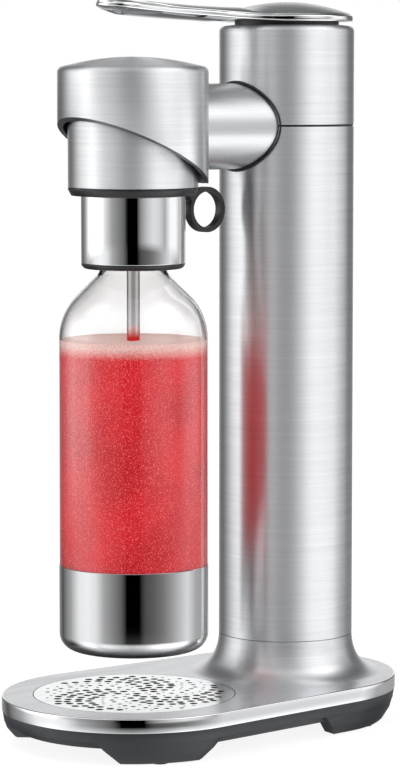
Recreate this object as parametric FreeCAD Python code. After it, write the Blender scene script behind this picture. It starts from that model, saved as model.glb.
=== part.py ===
"""Counter-top soda carbonator: a round column on a long base, with a press lever on top and an arm
that carries the carbonating head, which holds a bottle by its cap.

Units are millimetres, +Z is up and the front, where the bottle hangs, is -Y. The origin is at the
centre of the base outline, on the counter. Two vertical axes carry nearly everything: the bottle
axis (head, cap, bottle and drip tray) and the column axis (column, gas cylinder and lever).
"""
import FreeCAD, Part
import math
import os

from FreeCAD import Vector

# Base
REACH = 117.6              # bottle axis to column axis
BASE_FRONT_RADIUS = 76.9   # round the bottle axis
BASE_BACK_RADIUS = 72.6
BASE_REAR = 64.0           # column axis to the base's back edge
DECK_Z = 27.8              # top of the steel deck
DECK_SHEET = 1.4
BAND_HEIGHT = 8.3
BAND_LIP = 1.3             # bright edge of the band beside the deck
BAND_LEDGE = 3.4           # how far the band reaches in under the deck
FOOT_GAP = 13.5            # counter to the skirt's edge, in the arches between the feet
FLOOR_Z = 9.0              # underside of the base's floor
FLOOR_SHEET = 2.4
SKIRT_WALL = 2.4
SKIRT_INSET = 0.3          # skirt's top from the outline
SKIRT_TAPER = 1.0          # how much further in its lower edge is
SHELF_HEIGHT = 2.0         # of the shelf that joins the skirt to the floor's wall
FLOOR_INSET = 8.5
FLOOR_WALL = 2.5
FOOT_INSETS = ((14.5, 1.15), (8.0, 3.0), (1.6, 7.0), (0.6, 8.3))   # height, inset of a foot's side
FOOT_DEPTH = 18.0          # from the outline to a foot's inner side
FRONT_FOOT = (34.0, 92.0, 45.0, 83.0)   # angles from straight ahead: at the arch, then on the counter
REAR_FOOT = (26.0, 108.0, 36.0, 99.0)   # the same from straight back
PAD_RADIUS = 4.5
PAD_HEIGHT = 2.4
BALLAST_THICKNESS = 6.0
BALLAST_FRONT = 30.0       # its front edge behind the bottle axis
SCREW_RADIUS = 1.9
SCREW_HEAD_RADIUS = 3.6
SCREW_HEAD_HEIGHT = 2.2
SCREW_ANGLES = (45, 135, 225, 315)

# Drip tray
TRAY_RADIUS = 58.4
TRAY_GAP = 0.5             # round the grille
TRAY_WALL = 1.6
TRAY_DEPTH = 12.0
TRAY_RIM = 1.6             # thickness of the rim under the grille
TRAY_CORNER = 3.0          # slanted edge of its bottom
WELL_LEDGE = 1.5           # how far the tray's rim reaches over the well
WELL_GAP = 0.9             # between tray and well
GRILLE_SHEET = 1.0
GRILLE_HOLES = 215
GRILLE_HOLE_RADII = (2.25, 1.2, 1.75, 1.45, 0.95)
GRILLE_FIELD = 52.6        # radius that the holes fill

# Column
COLUMN_RADIUS = 40.1
COLUMN_WALL = 1.5
FLARE_RUN = 17.9           # how far the flare spreads before it meets the deck
FLARE_TOP = 51.2
SEAM_Z = 356.0             # joint between column and upper housing
SEAM_HEIGHT = 1.2
SEAM_GAP = 0.3
HOUSING_TOP = 415.0
HOUSING_EDGE = 3.2         # rounding of the housing's top edge
HOUSING_SLOPE = 1.0        # how much its top rises to the mouth
MOUTH_GAP = 1.3            # round the lever's skirt
COVER_HALF_ANGLE = 52.0    # half of the arc that the rear cover takes out of the column
COVER_GAP = 0.5
LINER_WALL = 1.6
SNAP_TAB = (18.0, 4.0, 8.0)   # width, reach and height
FRAME_WALL = 2.0
FRAME_PLATE = 3.0          # thickness of its flange, guides, bulkhead and top plate
FRAME_FLANGE = 11.7        # how far its foot flange spreads
SCREW_SPREAD = 5.2         # from the frame's wall out to the screws
GUIDE_HEIGHTS = (80.0, 250.0)
BULKHEAD_BORE = 17.0
TOP_BORE = 10.0

# Gas cylinder and valve
CYLINDER_RADIUS = 30.0
CYLINDER_WALL = 3.2
CYLINDER_BOTTOM = 28.0
CYLINDER_SHOULDER = 296.0
CYLINDER_NECK_TOP = 338.0
CYLINDER_NECK_RADIUS = 13.0
CYLINDER_FOOT = 6.0        # rounding of its foot
CYLINDER_GAP = 0.7         # round it in its guides
VALVE_THREAD_RADIUS = 12.0
VALVE_COLLAR_RADIUS = 14.0
VALVE_COLLAR_HEIGHT = 8.0
VALVE_THREAD_GAP = 0.25
VALVE_STEM_RADIUS = 6.0
VALVE_STEM_LENGTH = 16.0
VALVE_TOP = 370.0
VALVE_BLOCK_RADIUS = 20.0
VALVE_BLOCK_DROP = 7.0     # its top below the frame's top plate
OUTLET_BOSS_RADIUS = 4.5
OUTLET_BOSS_LENGTH = 6.0
PLUNGER_RADIUS = 4.0
BUTTON_RADIUS = 7.5
BUTTON_HEIGHT = 3.0
SPRING_RADIUS = 6.2
SPRING_WIRE = 0.55
SPRING_TURNS = 4
GAS_TUBE_RADIUS = 2.2
GAS_TUBE_WALL = 0.8
GAS_TUBE_Z = 360.0

# Lever
LEVER_STEP = 0.7           # how much smaller than the column the lever's disc is
LEVER_GAP = 1.9            # housing's top to the lower edge of the lever's rim
LEVER_RIM = 3.4            # height of its bright rim
LEVER_RISE = 11.3          # lower edge of the rim to the top of the dome
LEVER_SHEET = 1.7
LEVER_WALL = 2.2
INLAY_STEP = 0.3           # bright edge left round the satin top
LEVER_TIP = 140.5          # from the column axis forward
LEVER_TIP_RADIUS = 14.0
LEVER_INLAY_END = 112.0    # front end of the satin top, at a section of the arm
LEVER_SKIRT_RADIUS = 30.9
LEVER_PIVOT_BACK = 18.0    # pivot behind the column axis
LEVER_PIVOT_DROP = 5.5     # pivot below the housing's top
PIN_RADIUS = 2.5
PIN_HALF_LENGTH = 18.5
EYE_RADIUS = 4.5
EYE_WIDTH = 3.0
EYE_SPREAD = 8.0           # from the middle out to each of the lever's eyes
EAR_SPREAD = 14.0          # from the middle out to each of the bracket's ears
BRACKET_SHEET = 2.5
PRESS_BOSS_RADIUS = 3.5
PRESS_GAP = 0.3            # between the boss and the plunger's button
# Sections of the arm: distance forward, half width, then crown, edge, lip and keel above the rim's
# lower edge
LEVER_ARM = (
    (28.0, 28.0, 8.7, 3.4, 0.1, 0.0),
    (39.4, 18.6, 7.9, 3.4, 0.5, 0.2),
    (46.0, 14.5, 7.8, 4.1, 1.1, -0.1),
    (58.0, 12.0, 8.0, 5.0, 2.0, -0.6),
    (70.0, 11.3, 8.3, 5.7, 2.7, -0.4),
    (82.0, 11.2, 8.8, 6.3, 3.3, 0.1),
    (97.0, 12.0, 9.7, 7.0, 4.0, 0.7),
    (112.0, 13.2, 10.7, 7.9, 4.9, 1.5),
    (124.0, 14.0, 11.9, 8.7, 5.7, 2.3),
    (141.0, 14.0, 12.9, 9.7, 7.3, 4.7),
)

# Arm
ARM_Z = 355.5
ARM_HALF_WIDTH = 26.8
ARM_HALF_HEIGHT = 25.1
ARM_WALL = 1.5
GASKET_WIDTH = 1.4
GASKET_PROUD = 1.2

# Head
HEAD_RADIUS = 43.3
HEAD_WALL = 2.9
HEAD_SIDE_TOP = 387.0
HEAD_EDGE = 3.6
HEAD_DOME_TOP = 395.9
CUT_MID_Z = 340.3          # height of the cover's slanting lower edge on the bottle axis
CUT_RISE = 21.1            # how much higher it is at the front
CUT_REAR_Z = 323.5
COLLAR_RADIUS = 37.4
COLLAR_WALL = 1.6
COLLAR_BOTTOM = 321.5
HEAD_FLOOR_Z = 366.0
HEAD_FLOOR = 5.0           # thickness of the lid over the collar
BAYONET_WALL = 2.6
BAYONET_FLANGE = 1.8       # how far its flange stands out
BAYONET_SHEET = 2.5
NOZZLE_RADIUS = 4.0
NOZZLE_BORE = 1.2
INJECTOR_RADIUS = 13.0
INJECTOR_HEIGHT = 22.0

# Cap
CAP_TOP = 321.2            # top of the black flange
FLANGE_HEIGHT = 4.3
SLEEVE_RADIUS = 30.07
SLEEVE_WALL = 1.2
SLEEVE_BOTTOM = 278.2
CAP_BOTTOM = 275.0
PLUG_RADIUS = 28.6
PLUG_HEIGHT = 10.8
LUG_COUNT = 3
LUG_WIDTH = 8.0
LUG_REACH = 1.8
CAP_BORE = 8.5
CAP_SKIN = 2.0
VALVE_BACK = 16.0          # pressure valve behind the bottle axis
VALVE_STEM = 3.0           # radius of its stem
TUBE_RADIUS = 3.75
TUBE_WALL = 0.7
TUBE_BOTTOM = 224.0
TIP_LENGTH = 6.0
TIP_BORE = 0.6

# Release ring
RING_RADIUS = 13.3
RING_WALL = 2.8
RING_WIDTH = 5.8
RING_BACK = 53.8           # its centre behind the bottle axis
RING_Z = 307.4
HINGE_BACK = 40.0
HINGE_Z = 318.4
KNUCKLE_RADIUS = 2.3
EAR_THICKNESS = 2.2
HINGE_PIN_RADIUS = 1.0

# Bottle
BOTTLE_RADIUS = 42.9
BOTTLE_WALL = 1.5
CUP_PROUD = 0.3            # of the bottle's side
CUP_WALL = 1.2
CUP_TOP = 104.2
CUP_BOTTOM = 54.3
CUP_EDGE = 10.0
SHOULDER_ROUND = 36.0
NECK_RADIUS = 19.2
NECK_ROUND = 4.0           # where the shoulder turns up into the neck
NECK_SHOWN = 0.23          # straight neck between shoulder and cap
NECK_WALL = 2.0
NECK_TOP = 300.0
THREAD_PROUD = 1.0
THREAD_PITCH = 5.0
THREAD_WIDTH = 1.2
DRINK_DROP = 0.2           # the drink's surface below the start of the shoulder

# Clearances
SEAT_GAP = 0.2             # between parts that rest on each other and come apart
SLIDE_GAP = 0.3            # round a part that slides or turns in another
PIN_GAP = 0.06             # round a hinge pin
FRAME_GAP = 0.3            # round a fixed part that passes through a wall

BASE_DEPTH = BASE_FRONT_RADIUS + REACH + BASE_REAR
BOTTLE_Y = BASE_FRONT_RADIUS - BASE_DEPTH / 2
COLUMN_Y = BOTTLE_Y + REACH
BACK_Y = BASE_DEPTH / 2 - BASE_BACK_RADIUS
BAND_BOTTOM = DECK_Z - BAND_HEIGHT
DECK_UNDER = DECK_Z - DECK_SHEET
FLOOR_TOP = FLOOR_Z + FLOOR_SHEET
TRAY_RIM_Z = DECK_Z - GRILLE_SHEET - TRAY_RIM
WELL_TOP = TRAY_RIM_Z - SEAT_GAP
WELL_RADIUS = TRAY_RADIUS - WELL_LEDGE
FLARE_RADIUS = COLUMN_RADIUS + FLARE_RUN
COLUMN_BORE = COLUMN_RADIUS - COLUMN_WALL
FRAME_RADIUS = COLUMN_BORE - FRAME_GAP
FRAME_BORE = FRAME_RADIUS - FRAME_WALL
SCREW_CIRCLE = FRAME_RADIUS + SCREW_SPREAD
BALLAST_TOP = FLOOR_TOP + BALLAST_THICKNESS
FRAME_FOOT_TOP = BALLAST_TOP + FRAME_PLATE
BULKHEAD_TOP = SEAM_Z - 4.0
LEVER_RADIUS = COLUMN_RADIUS - LEVER_STEP
LEVER_LIP_Z = HOUSING_TOP + LEVER_GAP
LEVER_DOME_TOP = LEVER_LIP_Z + LEVER_RISE
LEVER_PIVOT_Z = HOUSING_TOP - LEVER_PIVOT_DROP
LEVER_PIVOT_Y = COLUMN_Y + LEVER_PIVOT_BACK
TOP_PLATE_Z = LEVER_PIVOT_Z - EYE_RADIUS - 2.0
RIM_TOP = LEVER_LIP_Z + LEVER_RIM
LEVER_RECESS_TOP = RIM_TOP - LEVER_SHEET
VALVE_BLOCK_TOP = TOP_PLATE_Z - VALVE_BLOCK_DROP
PLUNGER_TOP = LEVER_PIVOT_Z + 0.5
HEAD_BORE = HEAD_RADIUS - HEAD_WALL
FLANGE_BOTTOM = CAP_TOP - FLANGE_HEIGHT
SLEEVE_BORE = SLEEVE_RADIUS - SLEEVE_WALL
PLUG_TOP = CAP_TOP + PLUG_HEIGHT
COLLAR_IN_RADIUS = PLUG_RADIUS + SLIDE_GAP
COLLAR_OUT_RADIUS = COLLAR_IN_RADIUS + BAYONET_WALL
BAYONET_Z = PLUG_TOP - 1.0     # underside of the bayonet ring's flange
RING_Y = BOTTLE_Y + RING_BACK
HINGE_Y = BOTTLE_Y + HINGE_BACK
EAR_GAP = RING_WIDTH / 2 + SLIDE_GAP
CUP_RADIUS = BOTTLE_RADIUS + CUP_PROUD
CUP_BORE = CUP_RADIUS - CUP_WALL
HALF_ROOT = math.sqrt(0.5)     # sine and cosine of 45 degrees
NECK_START_Z = CAP_BOTTOM - NECK_SHOWN
NECK_FOOT_RADIUS = NECK_RADIUS + NECK_ROUND * (1 - HALF_ROOT)
SHOULDER_END_RADIUS = BOTTLE_RADIUS - SHOULDER_ROUND * (1 - HALF_ROOT)
SHOULDER_Z = (NECK_START_Z - NECK_ROUND * HALF_ROOT - (SHOULDER_END_RADIUS - NECK_FOOT_RADIUS)
              - SHOULDER_ROUND * HALF_ROOT)
DRINK_Z = SHOULDER_Z - DRINK_DROP


# ---- helpers ---------------------------------------------------------------------------------

def cylinder(radius, bottom, top, y, x=0.0):
    """Upright cylinder between two heights."""
    return Part.makeCylinder(radius, top - bottom, Vector(x, y, bottom))


def ring(outer, inner, bottom, top, y):
    """Upright tube."""
    return cylinder(outer, bottom, top, y).cut(cylinder(inner, bottom - 1, top + 1, y))


def cross_pin(radius, half_length, y, z):
    """Cylinder along X, centred on the plane of symmetry."""
    return Part.makeCylinder(radius, 2 * half_length, Vector(-half_length, y, z), Vector(1, 0, 0))


def box(x0, x1, y0, y1, z0, z1):
    return Part.makeBox(x1 - x0, y1 - y0, z1 - z0, Vector(x0, y0, z0))


def turned(y, start, *steps):
    """Solid turned about the vertical axis at y from a closed outline of (radius, height) points.

    A step of two numbers is a straight line to that point. A step of four is an arc through the
    first pair to the second.
    """
    edges = []
    here = Vector(start[0], y, start[1])
    for step in (*steps, start):
        there = Vector(step[-2], y, step[-1])
        if len(step) == 4:
            middle = Vector(step[0], y, step[1])
            edges.append(Part.Arc(here, middle, there).toShape())
        elif here.distanceToPoint(there) > 1e-6:
            edges.append(Part.makeLine(here, there))
        here = there
    face = Part.Face(Part.Wire(edges))
    solid = face.revolve(Vector(0, y, 0), Vector(0, 0, 1), 360)
    return solid if solid.Volume > 0 else solid.reversed()


def side_prism(points, half_width):
    """Solid with an outline of (y, z) points, centred on the plane of symmetry."""
    wire = Part.makePolygon([Vector(-half_width, y, z) for y, z in (*points, points[0])])
    return Part.Face(wire).extrude(Vector(2 * half_width, 0, 0))


def arm_bar(half_width, half_height, y0, y1):
    """Elliptical bar along the arm's axis."""
    ellipse = Part.Ellipse(Vector(half_width, y0, ARM_Z), Vector(0, y0, ARM_Z + half_height),
                           Vector(0, y0, ARM_Z))
    face = Part.Face(Part.Wire([ellipse.toShape()]))
    return face.extrude(Vector(0, y1 - y0, 0))


def bent(radius, middle_angle, centre_r, centre_z):
    """Point on an arc of a turned outline, at an angle from the outward radius."""
    angle = math.radians(middle_angle)
    return centre_r + radius * math.cos(angle), centre_z + radius * math.sin(angle)


def crown_step(rim_radius, rim_z, top_z, inward=True):
    """Turned outline's arc over a shallow sphere, from its rim to its top or back out to the rim."""
    rise = top_z - rim_z
    sphere = (rim_radius ** 2 + rise ** 2) / (2 * rise)
    half = rim_radius / 2
    middle = (half, top_z - sphere + math.sqrt(sphere ** 2 - half ** 2))
    return (*middle, 0, top_z) if inward else (*middle, rim_radius, rim_z)


def base_outline(inset, z):
    """Outline of the base: two arcs and the straight sides that touch both."""
    front = BASE_FRONT_RADIUS - inset
    back = BASE_BACK_RADIUS - inset
    ny = (front - back) / (BACK_Y - BOTTLE_Y)
    nx = math.sqrt(1 - ny * ny)
    front_right = Vector(front * nx, BOTTLE_Y + front * ny, z)
    front_left = Vector(-front * nx, BOTTLE_Y + front * ny, z)
    back_right = Vector(back * nx, BACK_Y + back * ny, z)
    back_left = Vector(-back * nx, BACK_Y + back * ny, z)
    edges = [
        Part.Arc(front_left, Vector(0, BOTTLE_Y - front, z), front_right).toShape(),
        Part.makeLine(front_right, back_right),
        Part.Arc(back_right, Vector(0, BACK_Y + back, z), back_left).toShape(),
        Part.makeLine(back_left, front_left),
    ]
    return Part.Wire(edges)


def base_slab(inset, bottom, top):
    return Part.Face(base_outline(inset, bottom)).extrude(Vector(0, 0, top - bottom))


def base_taper(levels):
    """Solid between base outlines given as (height, inset), from the top down."""
    wires = [base_outline(inset, z) for z, inset in levels]
    return Part.makeLoft(wires, True, True)


def sector(y, heading, start, end, z, inner=40.0, outer=110.0):
    """Four-sided sector outline; angles are from the heading (1 back, -1 front) towards +X."""
    corners = []
    for radius, angle in ((inner, start), (outer, start), (outer, end), (inner, end)):
        a = math.radians(angle)
        corners.append(Vector(radius * math.sin(a), y + heading * radius * math.cos(a), z))
    return Part.makePolygon([*corners, corners[0]])


def mirrored(shape):
    return shape.mirror(Vector(0, 0, 0), Vector(1, 0, 0))


def export(name, shape):
    shape.exportStep("parts/" + name + ".step")


# ---- base ------------------------------------------------------------------------------------

def foot_wedge(y, heading, angles):
    """Block that cuts one foot, with sloping ends, out of the tapering foot wall."""
    arch_start, arch_end, floor_start, floor_end = angles
    top = sector(y, heading, arch_start, arch_end, FOOT_GAP)
    bottom = sector(y, heading, floor_start, floor_end, 0.0)
    wedge = Part.makeLoft([top, bottom], True, True)
    return wedge.fuse(Part.Face(top).extrude(Vector(0, 0, 1.0)))


def pad_places():
    """Centre of each foot pad."""
    places = []
    for y, heading, radius, angles in (
        (BOTTLE_Y, -1, BASE_FRONT_RADIUS, FRONT_FOOT),
        (BACK_Y, 1, BASE_BACK_RADIUS, REAR_FOOT),
    ):
        angle = math.radians((angles[2] + angles[3]) / 2)
        reach = radius - (FOOT_INSETS[-1][1] + FOOT_DEPTH) / 2
        for side in (-1, 1):
            places.append((side * reach * math.sin(angle), y + heading * reach * math.cos(angle)))
    return places


def make_foot_pads():
    pads = [cylinder(PAD_RADIUS, 0, PAD_HEIGHT, y, x) for x, y in pad_places()]
    return Part.makeCompound(pads)


def make_feet():
    wall = base_taper(FOOT_INSETS).cut(base_slab(FOOT_DEPTH, -1, FOOT_INSETS[0][0] + 1))
    feet = []
    for y, heading, angles in ((BOTTLE_Y, -1, FRONT_FOOT), (BACK_Y, 1, REAR_FOOT)):
        foot = wall.common(foot_wedge(y, heading, angles))
        feet += [foot, mirrored(foot)]
    return feet


def screw_places():
    """Centres of the screws that hold the column frame down."""
    places = []
    for degrees in SCREW_ANGLES:
        a = math.radians(degrees)
        places.append((SCREW_CIRCLE * math.cos(a), COLUMN_Y + SCREW_CIRCLE * math.sin(a)))
    return places


def screw_holes(radius, bottom, top):
    return Part.makeCompound([cylinder(radius, bottom, top, y, x) for x, y in screw_places()])


def make_base_skirt():
    """Dark moulded underbody: rim, recessed wall, floor, four feet and the well of the tray."""
    edge_inset = SKIRT_INSET + SKIRT_TAPER
    shelf_top = FOOT_GAP + SHELF_HEIGHT
    inside = FLOOR_INSET + FLOOR_WALL
    rim = base_taper(((BAND_BOTTOM, SKIRT_INSET), (FOOT_GAP, edge_inset)))
    rim = rim.cut(base_slab(edge_inset + SKIRT_WALL, FOOT_GAP - 1, BAND_BOTTOM + 1))
    shelf = base_slab(edge_inset + 0.3, FOOT_GAP, shelf_top)
    shelf = shelf.cut(base_slab(inside, FOOT_GAP - 1, shelf_top + 1))
    wall = base_slab(FLOOR_INSET, FLOOR_Z, shelf_top).cut(base_slab(inside, FLOOR_TOP, shelf_top + 1))
    well = ring(WELL_RADIUS + SKIRT_WALL, WELL_RADIUS, FLOOR_Z, WELL_TOP, BOTTLE_Y)
    skirt = rim.multiFuse([shelf, wall, well, *make_feet()])
    for x, y in pad_places():
        skirt = skirt.cut(cylinder(PAD_RADIUS + 0.1, -1, PAD_HEIGHT, y, x))
    return skirt.cut(screw_holes(SCREW_RADIUS + 0.2, 0, FLOOR_TOP + 1)).removeSplitter()


def make_base_screws():
    under = FLOOR_Z - SCREW_HEAD_HEIGHT
    heads = [cylinder(SCREW_HEAD_RADIUS, under, FLOOR_Z, y, x) for x, y in screw_places()]
    shanks = [cylinder(SCREW_RADIUS, FLOOR_Z - 1, FRAME_FOOT_TOP, y, x) for x, y in screw_places()]
    return Part.makeCompound([head.fuse(shank) for head, shank in zip(heads, shanks)])


def make_ballast_plate():
    plate = base_slab(FOOT_DEPTH + 1, FLOOR_TOP, BALLAST_TOP)
    plate = plate.cut(cylinder(WELL_RADIUS + SKIRT_WALL + 1, 0, DECK_Z, BOTTLE_Y))
    plate = plate.cut(box(-100, 100, BOTTLE_Y - 100, BOTTLE_Y + BALLAST_FRONT, 0, DECK_Z))
    return plate.cut(screw_holes(SCREW_RADIUS + 0.2, 0, DECK_Z))


def make_trim_band():
    band = base_slab(0, BAND_BOTTOM, DECK_Z)
    band = band.cut(base_slab(BAND_LIP, DECK_UNDER, DECK_Z + 1))
    band = band.cut(base_slab(BAND_LEDGE, BAND_BOTTOM - 1, DECK_Z))
    top_edges = [e for e in band.Edges if abs(e.BoundBox.ZMin - DECK_Z) < 1e-6]
    outline_length = base_outline(0, DECK_Z).Length
    outer = [e for e in top_edges if _on_outline(e)]
    assert abs(sum(e.Length for e in outer) - outline_length) < 1.0
    return band.makeFillet(0.5, outer)


def _on_outline(edge):
    """True for an edge on the base's outer outline."""
    middle = edge.valueAt((edge.FirstParameter + edge.LastParameter) / 2)
    outline = base_outline(0, middle.z)
    return Part.Vertex(middle).distToShape(outline)[0] < 0.01


def make_base_plate():
    """Steel deck with the flare that rises into the column."""
    deck = base_slab(BAND_LIP + 0.05, DECK_UNDER, DECK_Z)
    deck = deck.cut(cylinder(TRAY_RADIUS + TRAY_GAP, 0, DECK_Z + 1, BOTTLE_Y))
    deck = deck.cut(cylinder(FLARE_RADIUS, 0, DECK_Z + 1, COLUMN_Y))
    run = FLARE_RADIUS - COLUMN_RADIUS
    rise = FLARE_TOP - DECK_Z
    outer_mid = (FLARE_RADIUS - run * HALF_ROOT, FLARE_TOP - rise * HALF_ROOT)
    run += DECK_SHEET
    rise += DECK_SHEET
    inner_mid = (FLARE_RADIUS - run * HALF_ROOT, FLARE_TOP - rise * HALF_ROOT)
    flare = flare_face(outer_mid, inner_mid).revolve(Vector(0, COLUMN_Y, 0), Vector(0, 0, 1), 360)
    return deck.fuse(flare)


def flare_face(outer_mid, inner_mid):
    """Section of the flare: two quarter ellipses about a point above the deck."""
    top_out = Vector(COLUMN_RADIUS, COLUMN_Y, FLARE_TOP)
    top_in = Vector(COLUMN_RADIUS - DECK_SHEET, COLUMN_Y, FLARE_TOP)
    foot_out = Vector(FLARE_RADIUS, COLUMN_Y, DECK_Z)
    foot_in = Vector(FLARE_RADIUS, COLUMN_Y, DECK_UNDER)
    centre = Vector(FLARE_RADIUS, COLUMN_Y, FLARE_TOP)
    outer = quarter_ellipse(centre, top_out, foot_out, outer_mid)
    inner = quarter_ellipse(centre, top_in, foot_in, inner_mid)
    return Part.Face(Part.Wire([outer, Part.makeLine(foot_out, foot_in), inner,
                                Part.makeLine(top_in, top_out)]))


def quarter_ellipse(centre, top, foot, middle):
    """The quarter of an ellipse from top to foot that passes through (radius, height) middle."""
    ellipse = Part.Ellipse(foot, top, centre)
    if foot.distanceToPoint(centre) < top.distanceToPoint(centre):
        ellipse = Part.Ellipse(top, foot, centre)
    ends = [ellipse.parameter(top), ellipse.parameter(foot)]
    turn = 2 * math.pi
    low, high = sorted(ends)
    spot = ellipse.parameter(Vector(middle[0], COLUMN_Y, middle[1]))
    if not low - 1e-6 <= spot <= high + 1e-6:
        low, high = high, low + turn
    return ellipse.toShape(low, high)


# ---- drip tray -------------------------------------------------------------------------------

def make_drip_tray():
    outer = WELL_RADIUS - WELL_GAP
    corner = TRAY_CORNER
    bottom = WELL_TOP - TRAY_DEPTH
    rim_top = DECK_Z - GRILLE_SHEET
    return turned(BOTTLE_Y, (0, bottom), (outer - corner, bottom), (outer, bottom + corner),
                  (outer, TRAY_RIM_Z), (TRAY_RADIUS, TRAY_RIM_Z), (TRAY_RADIUS, rim_top),
                  (outer - TRAY_WALL, rim_top), (outer - TRAY_WALL, bottom + corner + 0.5),
                  (outer - corner - 1, bottom + TRAY_WALL), (0, bottom + TRAY_WALL))


def grille_hole_places():
    """Centres and radii of the holes, on a sunflower spiral with an uneven size order."""
    golden = math.pi * (3 - math.sqrt(5))
    step = GRILLE_FIELD / math.sqrt(GRILLE_HOLES)
    places = []
    for n in range(GRILLE_HOLES):
        reach = step * math.sqrt(n + 0.5) + 0.5 * math.sin(2.3 * n)
        angle = n * golden + 0.7 * math.sin(1.7 * n) / (1 + reach)
        radius = GRILLE_HOLE_RADII[(n * n + 3 * n) % 7 % len(GRILLE_HOLE_RADII)]
        places.append((reach * math.cos(angle), BOTTLE_Y + reach * math.sin(angle), radius))
    return places


def make_drip_grille():
    bottom = DECK_Z - GRILLE_SHEET
    rim = Part.Wire([Part.makeCircle(TRAY_RADIUS, Vector(0, BOTTLE_Y, bottom))])
    holes = [Part.Wire([Part.makeCircle(r, Vector(x, y, bottom))]) for x, y, r in grille_hole_places()]
    face = Part.makeFace(Part.makeCompound([rim, *holes]), "Part::FaceMakerBullseye")
    return face.extrude(Vector(0, 0, GRILLE_SHEET))


# ---- column ----------------------------------------------------------------------------------

def rear_sector(half_angle, bottom, top, reach=120.0):
    """Block over the rear of the column, within half_angle of straight back."""
    wire = sector(COLUMN_Y, 1, -half_angle, half_angle, bottom, 0.01, reach)
    return Part.Face(wire).extrude(Vector(0, 0, top - bottom))


def arm_hole(gap):
    """The space that the arm's frame takes through the walls, with a gap all round."""
    half_width = ARM_HALF_WIDTH - ARM_WALL - FRAME_GAP
    half_height = ARM_HALF_HEIGHT - ARM_WALL - FRAME_GAP
    return arm_bar(half_width + gap, half_height + gap, BOTTLE_Y + 10, COLUMN_Y - 10)


def make_column_tube():
    tube = ring(COLUMN_RADIUS, COLUMN_BORE, FLARE_TOP + SEAM_GAP, SEAM_Z - SEAM_HEIGHT / 2, COLUMN_Y)
    tube = tube.cut(rear_sector(COVER_HALF_ANGLE, 0, SEAM_Z + 1))
    return tube.cut(arm_hole(FRAME_GAP))


def make_seam_ring():
    seam = ring(COLUMN_RADIUS - 0.5, COLUMN_BORE, SEAM_Z - SEAM_HEIGHT / 2, SEAM_Z + SEAM_HEIGHT / 2,
                COLUMN_Y)
    return seam.cut(arm_hole(FRAME_GAP))


def make_rear_cover():
    bottom = FLARE_TOP + COVER_GAP
    top = SEAM_Z - SEAM_HEIGHT / 2 - COVER_GAP
    cover = ring(COLUMN_RADIUS, COLUMN_BORE, bottom, top, COLUMN_Y)
    gap_angle = math.degrees(COVER_GAP / COLUMN_RADIUS)
    return cover.common(rear_sector(COVER_HALF_ANGLE - gap_angle, 0, SEAM_Z))


def make_cover_liner():
    """Plastic lining of the rear cover, with the tab that snaps over the frame's bulkhead."""
    inner = COLUMN_BORE - LINER_WALL
    liner = ring(COLUMN_BORE, inner, FLARE_TOP + 6, SEAM_Z - 14, COLUMN_Y)
    liner = liner.common(rear_sector(COVER_HALF_ANGLE - 2, 0, SEAM_Z))
    width, reach, height = SNAP_TAB
    top = SEAM_Z - 22
    y = COLUMN_Y + inner
    return liner.fuse(box(-width / 2, width / 2, y - reach, y + 0.5, top - height, top))


def guide_plate(bottom):
    """Open plate that steadies the gas cylinder and lets it tip out to the rear."""
    bore = CYLINDER_RADIUS + CYLINDER_GAP
    top = bottom + FRAME_PLATE
    plate = cylinder(FRAME_BORE + 0.5, bottom, top, COLUMN_Y)
    plate = plate.cut(cylinder(bore, bottom - 1, top + 1, COLUMN_Y))
    return plate.cut(box(-bore, bore, COLUMN_Y, COLUMN_Y + 60, bottom - 1, top + 1))


def make_column_frame():
    """Inner chassis: foot flange, open shell, cylinder guides, bulkhead and top plate."""
    foot = cylinder(FRAME_RADIUS + FRAME_FLANGE, BALLAST_TOP, FRAME_FOOT_TOP, COLUMN_Y)
    foot = foot.cut(screw_holes(SCREW_RADIUS, 0, DECK_Z))
    shell = ring(FRAME_RADIUS, FRAME_BORE, BALLAST_TOP, TOP_PLATE_Z, COLUMN_Y)
    shell = shell.cut(rear_sector(COVER_HALF_ANGLE + 4, FRAME_FOOT_TOP, TOP_PLATE_Z + 1))
    bulkhead = cylinder(FRAME_RADIUS, BULKHEAD_TOP - FRAME_PLATE, BULKHEAD_TOP, COLUMN_Y)
    bulkhead = bulkhead.cut(cylinder(BULKHEAD_BORE, 0, SEAM_Z, COLUMN_Y))
    bulkhead = bulkhead.cut(box(-60, 60, COLUMN_Y + 30, COLUMN_Y + 60, 0, SEAM_Z))
    top = cylinder(FRAME_RADIUS, TOP_PLATE_Z - FRAME_PLATE, TOP_PLATE_Z, COLUMN_Y)
    top = top.cut(cylinder(TOP_BORE, 0, TOP_PLATE_Z + 1, COLUMN_Y))
    frame = foot.multiFuse([shell, bulkhead, top, *[guide_plate(z) for z in GUIDE_HEIGHTS]])
    return frame.cut(arm_hole(0.2))


def make_upper_housing():
    """Steel housing above the seam, with the opening that the lever works in."""
    outer = COLUMN_RADIUS
    inner = COLUMN_BORE
    bottom = SEAM_Z + SEAM_HEIGHT / 2
    mouth = LEVER_SKIRT_RADIUS + MOUTH_GAP
    slope = HOUSING_SLOPE
    edge_z = HOUSING_TOP - slope - HOUSING_EDGE
    corner = bent(HOUSING_EDGE, 45, outer - HOUSING_EDGE, edge_z)
    housing = turned(COLUMN_Y, (inner, bottom), (outer, bottom), (outer, edge_z),
                     (*corner, outer - HOUSING_EDGE, HOUSING_TOP - slope), (mouth, HOUSING_TOP),
                     (mouth, HOUSING_TOP - COLUMN_WALL), (inner - 2, HOUSING_TOP - slope - COLUMN_WALL),
                     (inner, edge_z))
    return housing.cut(arm_hole(FRAME_GAP))


# ---- gas cylinder and valve ------------------------------------------------------------------

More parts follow.
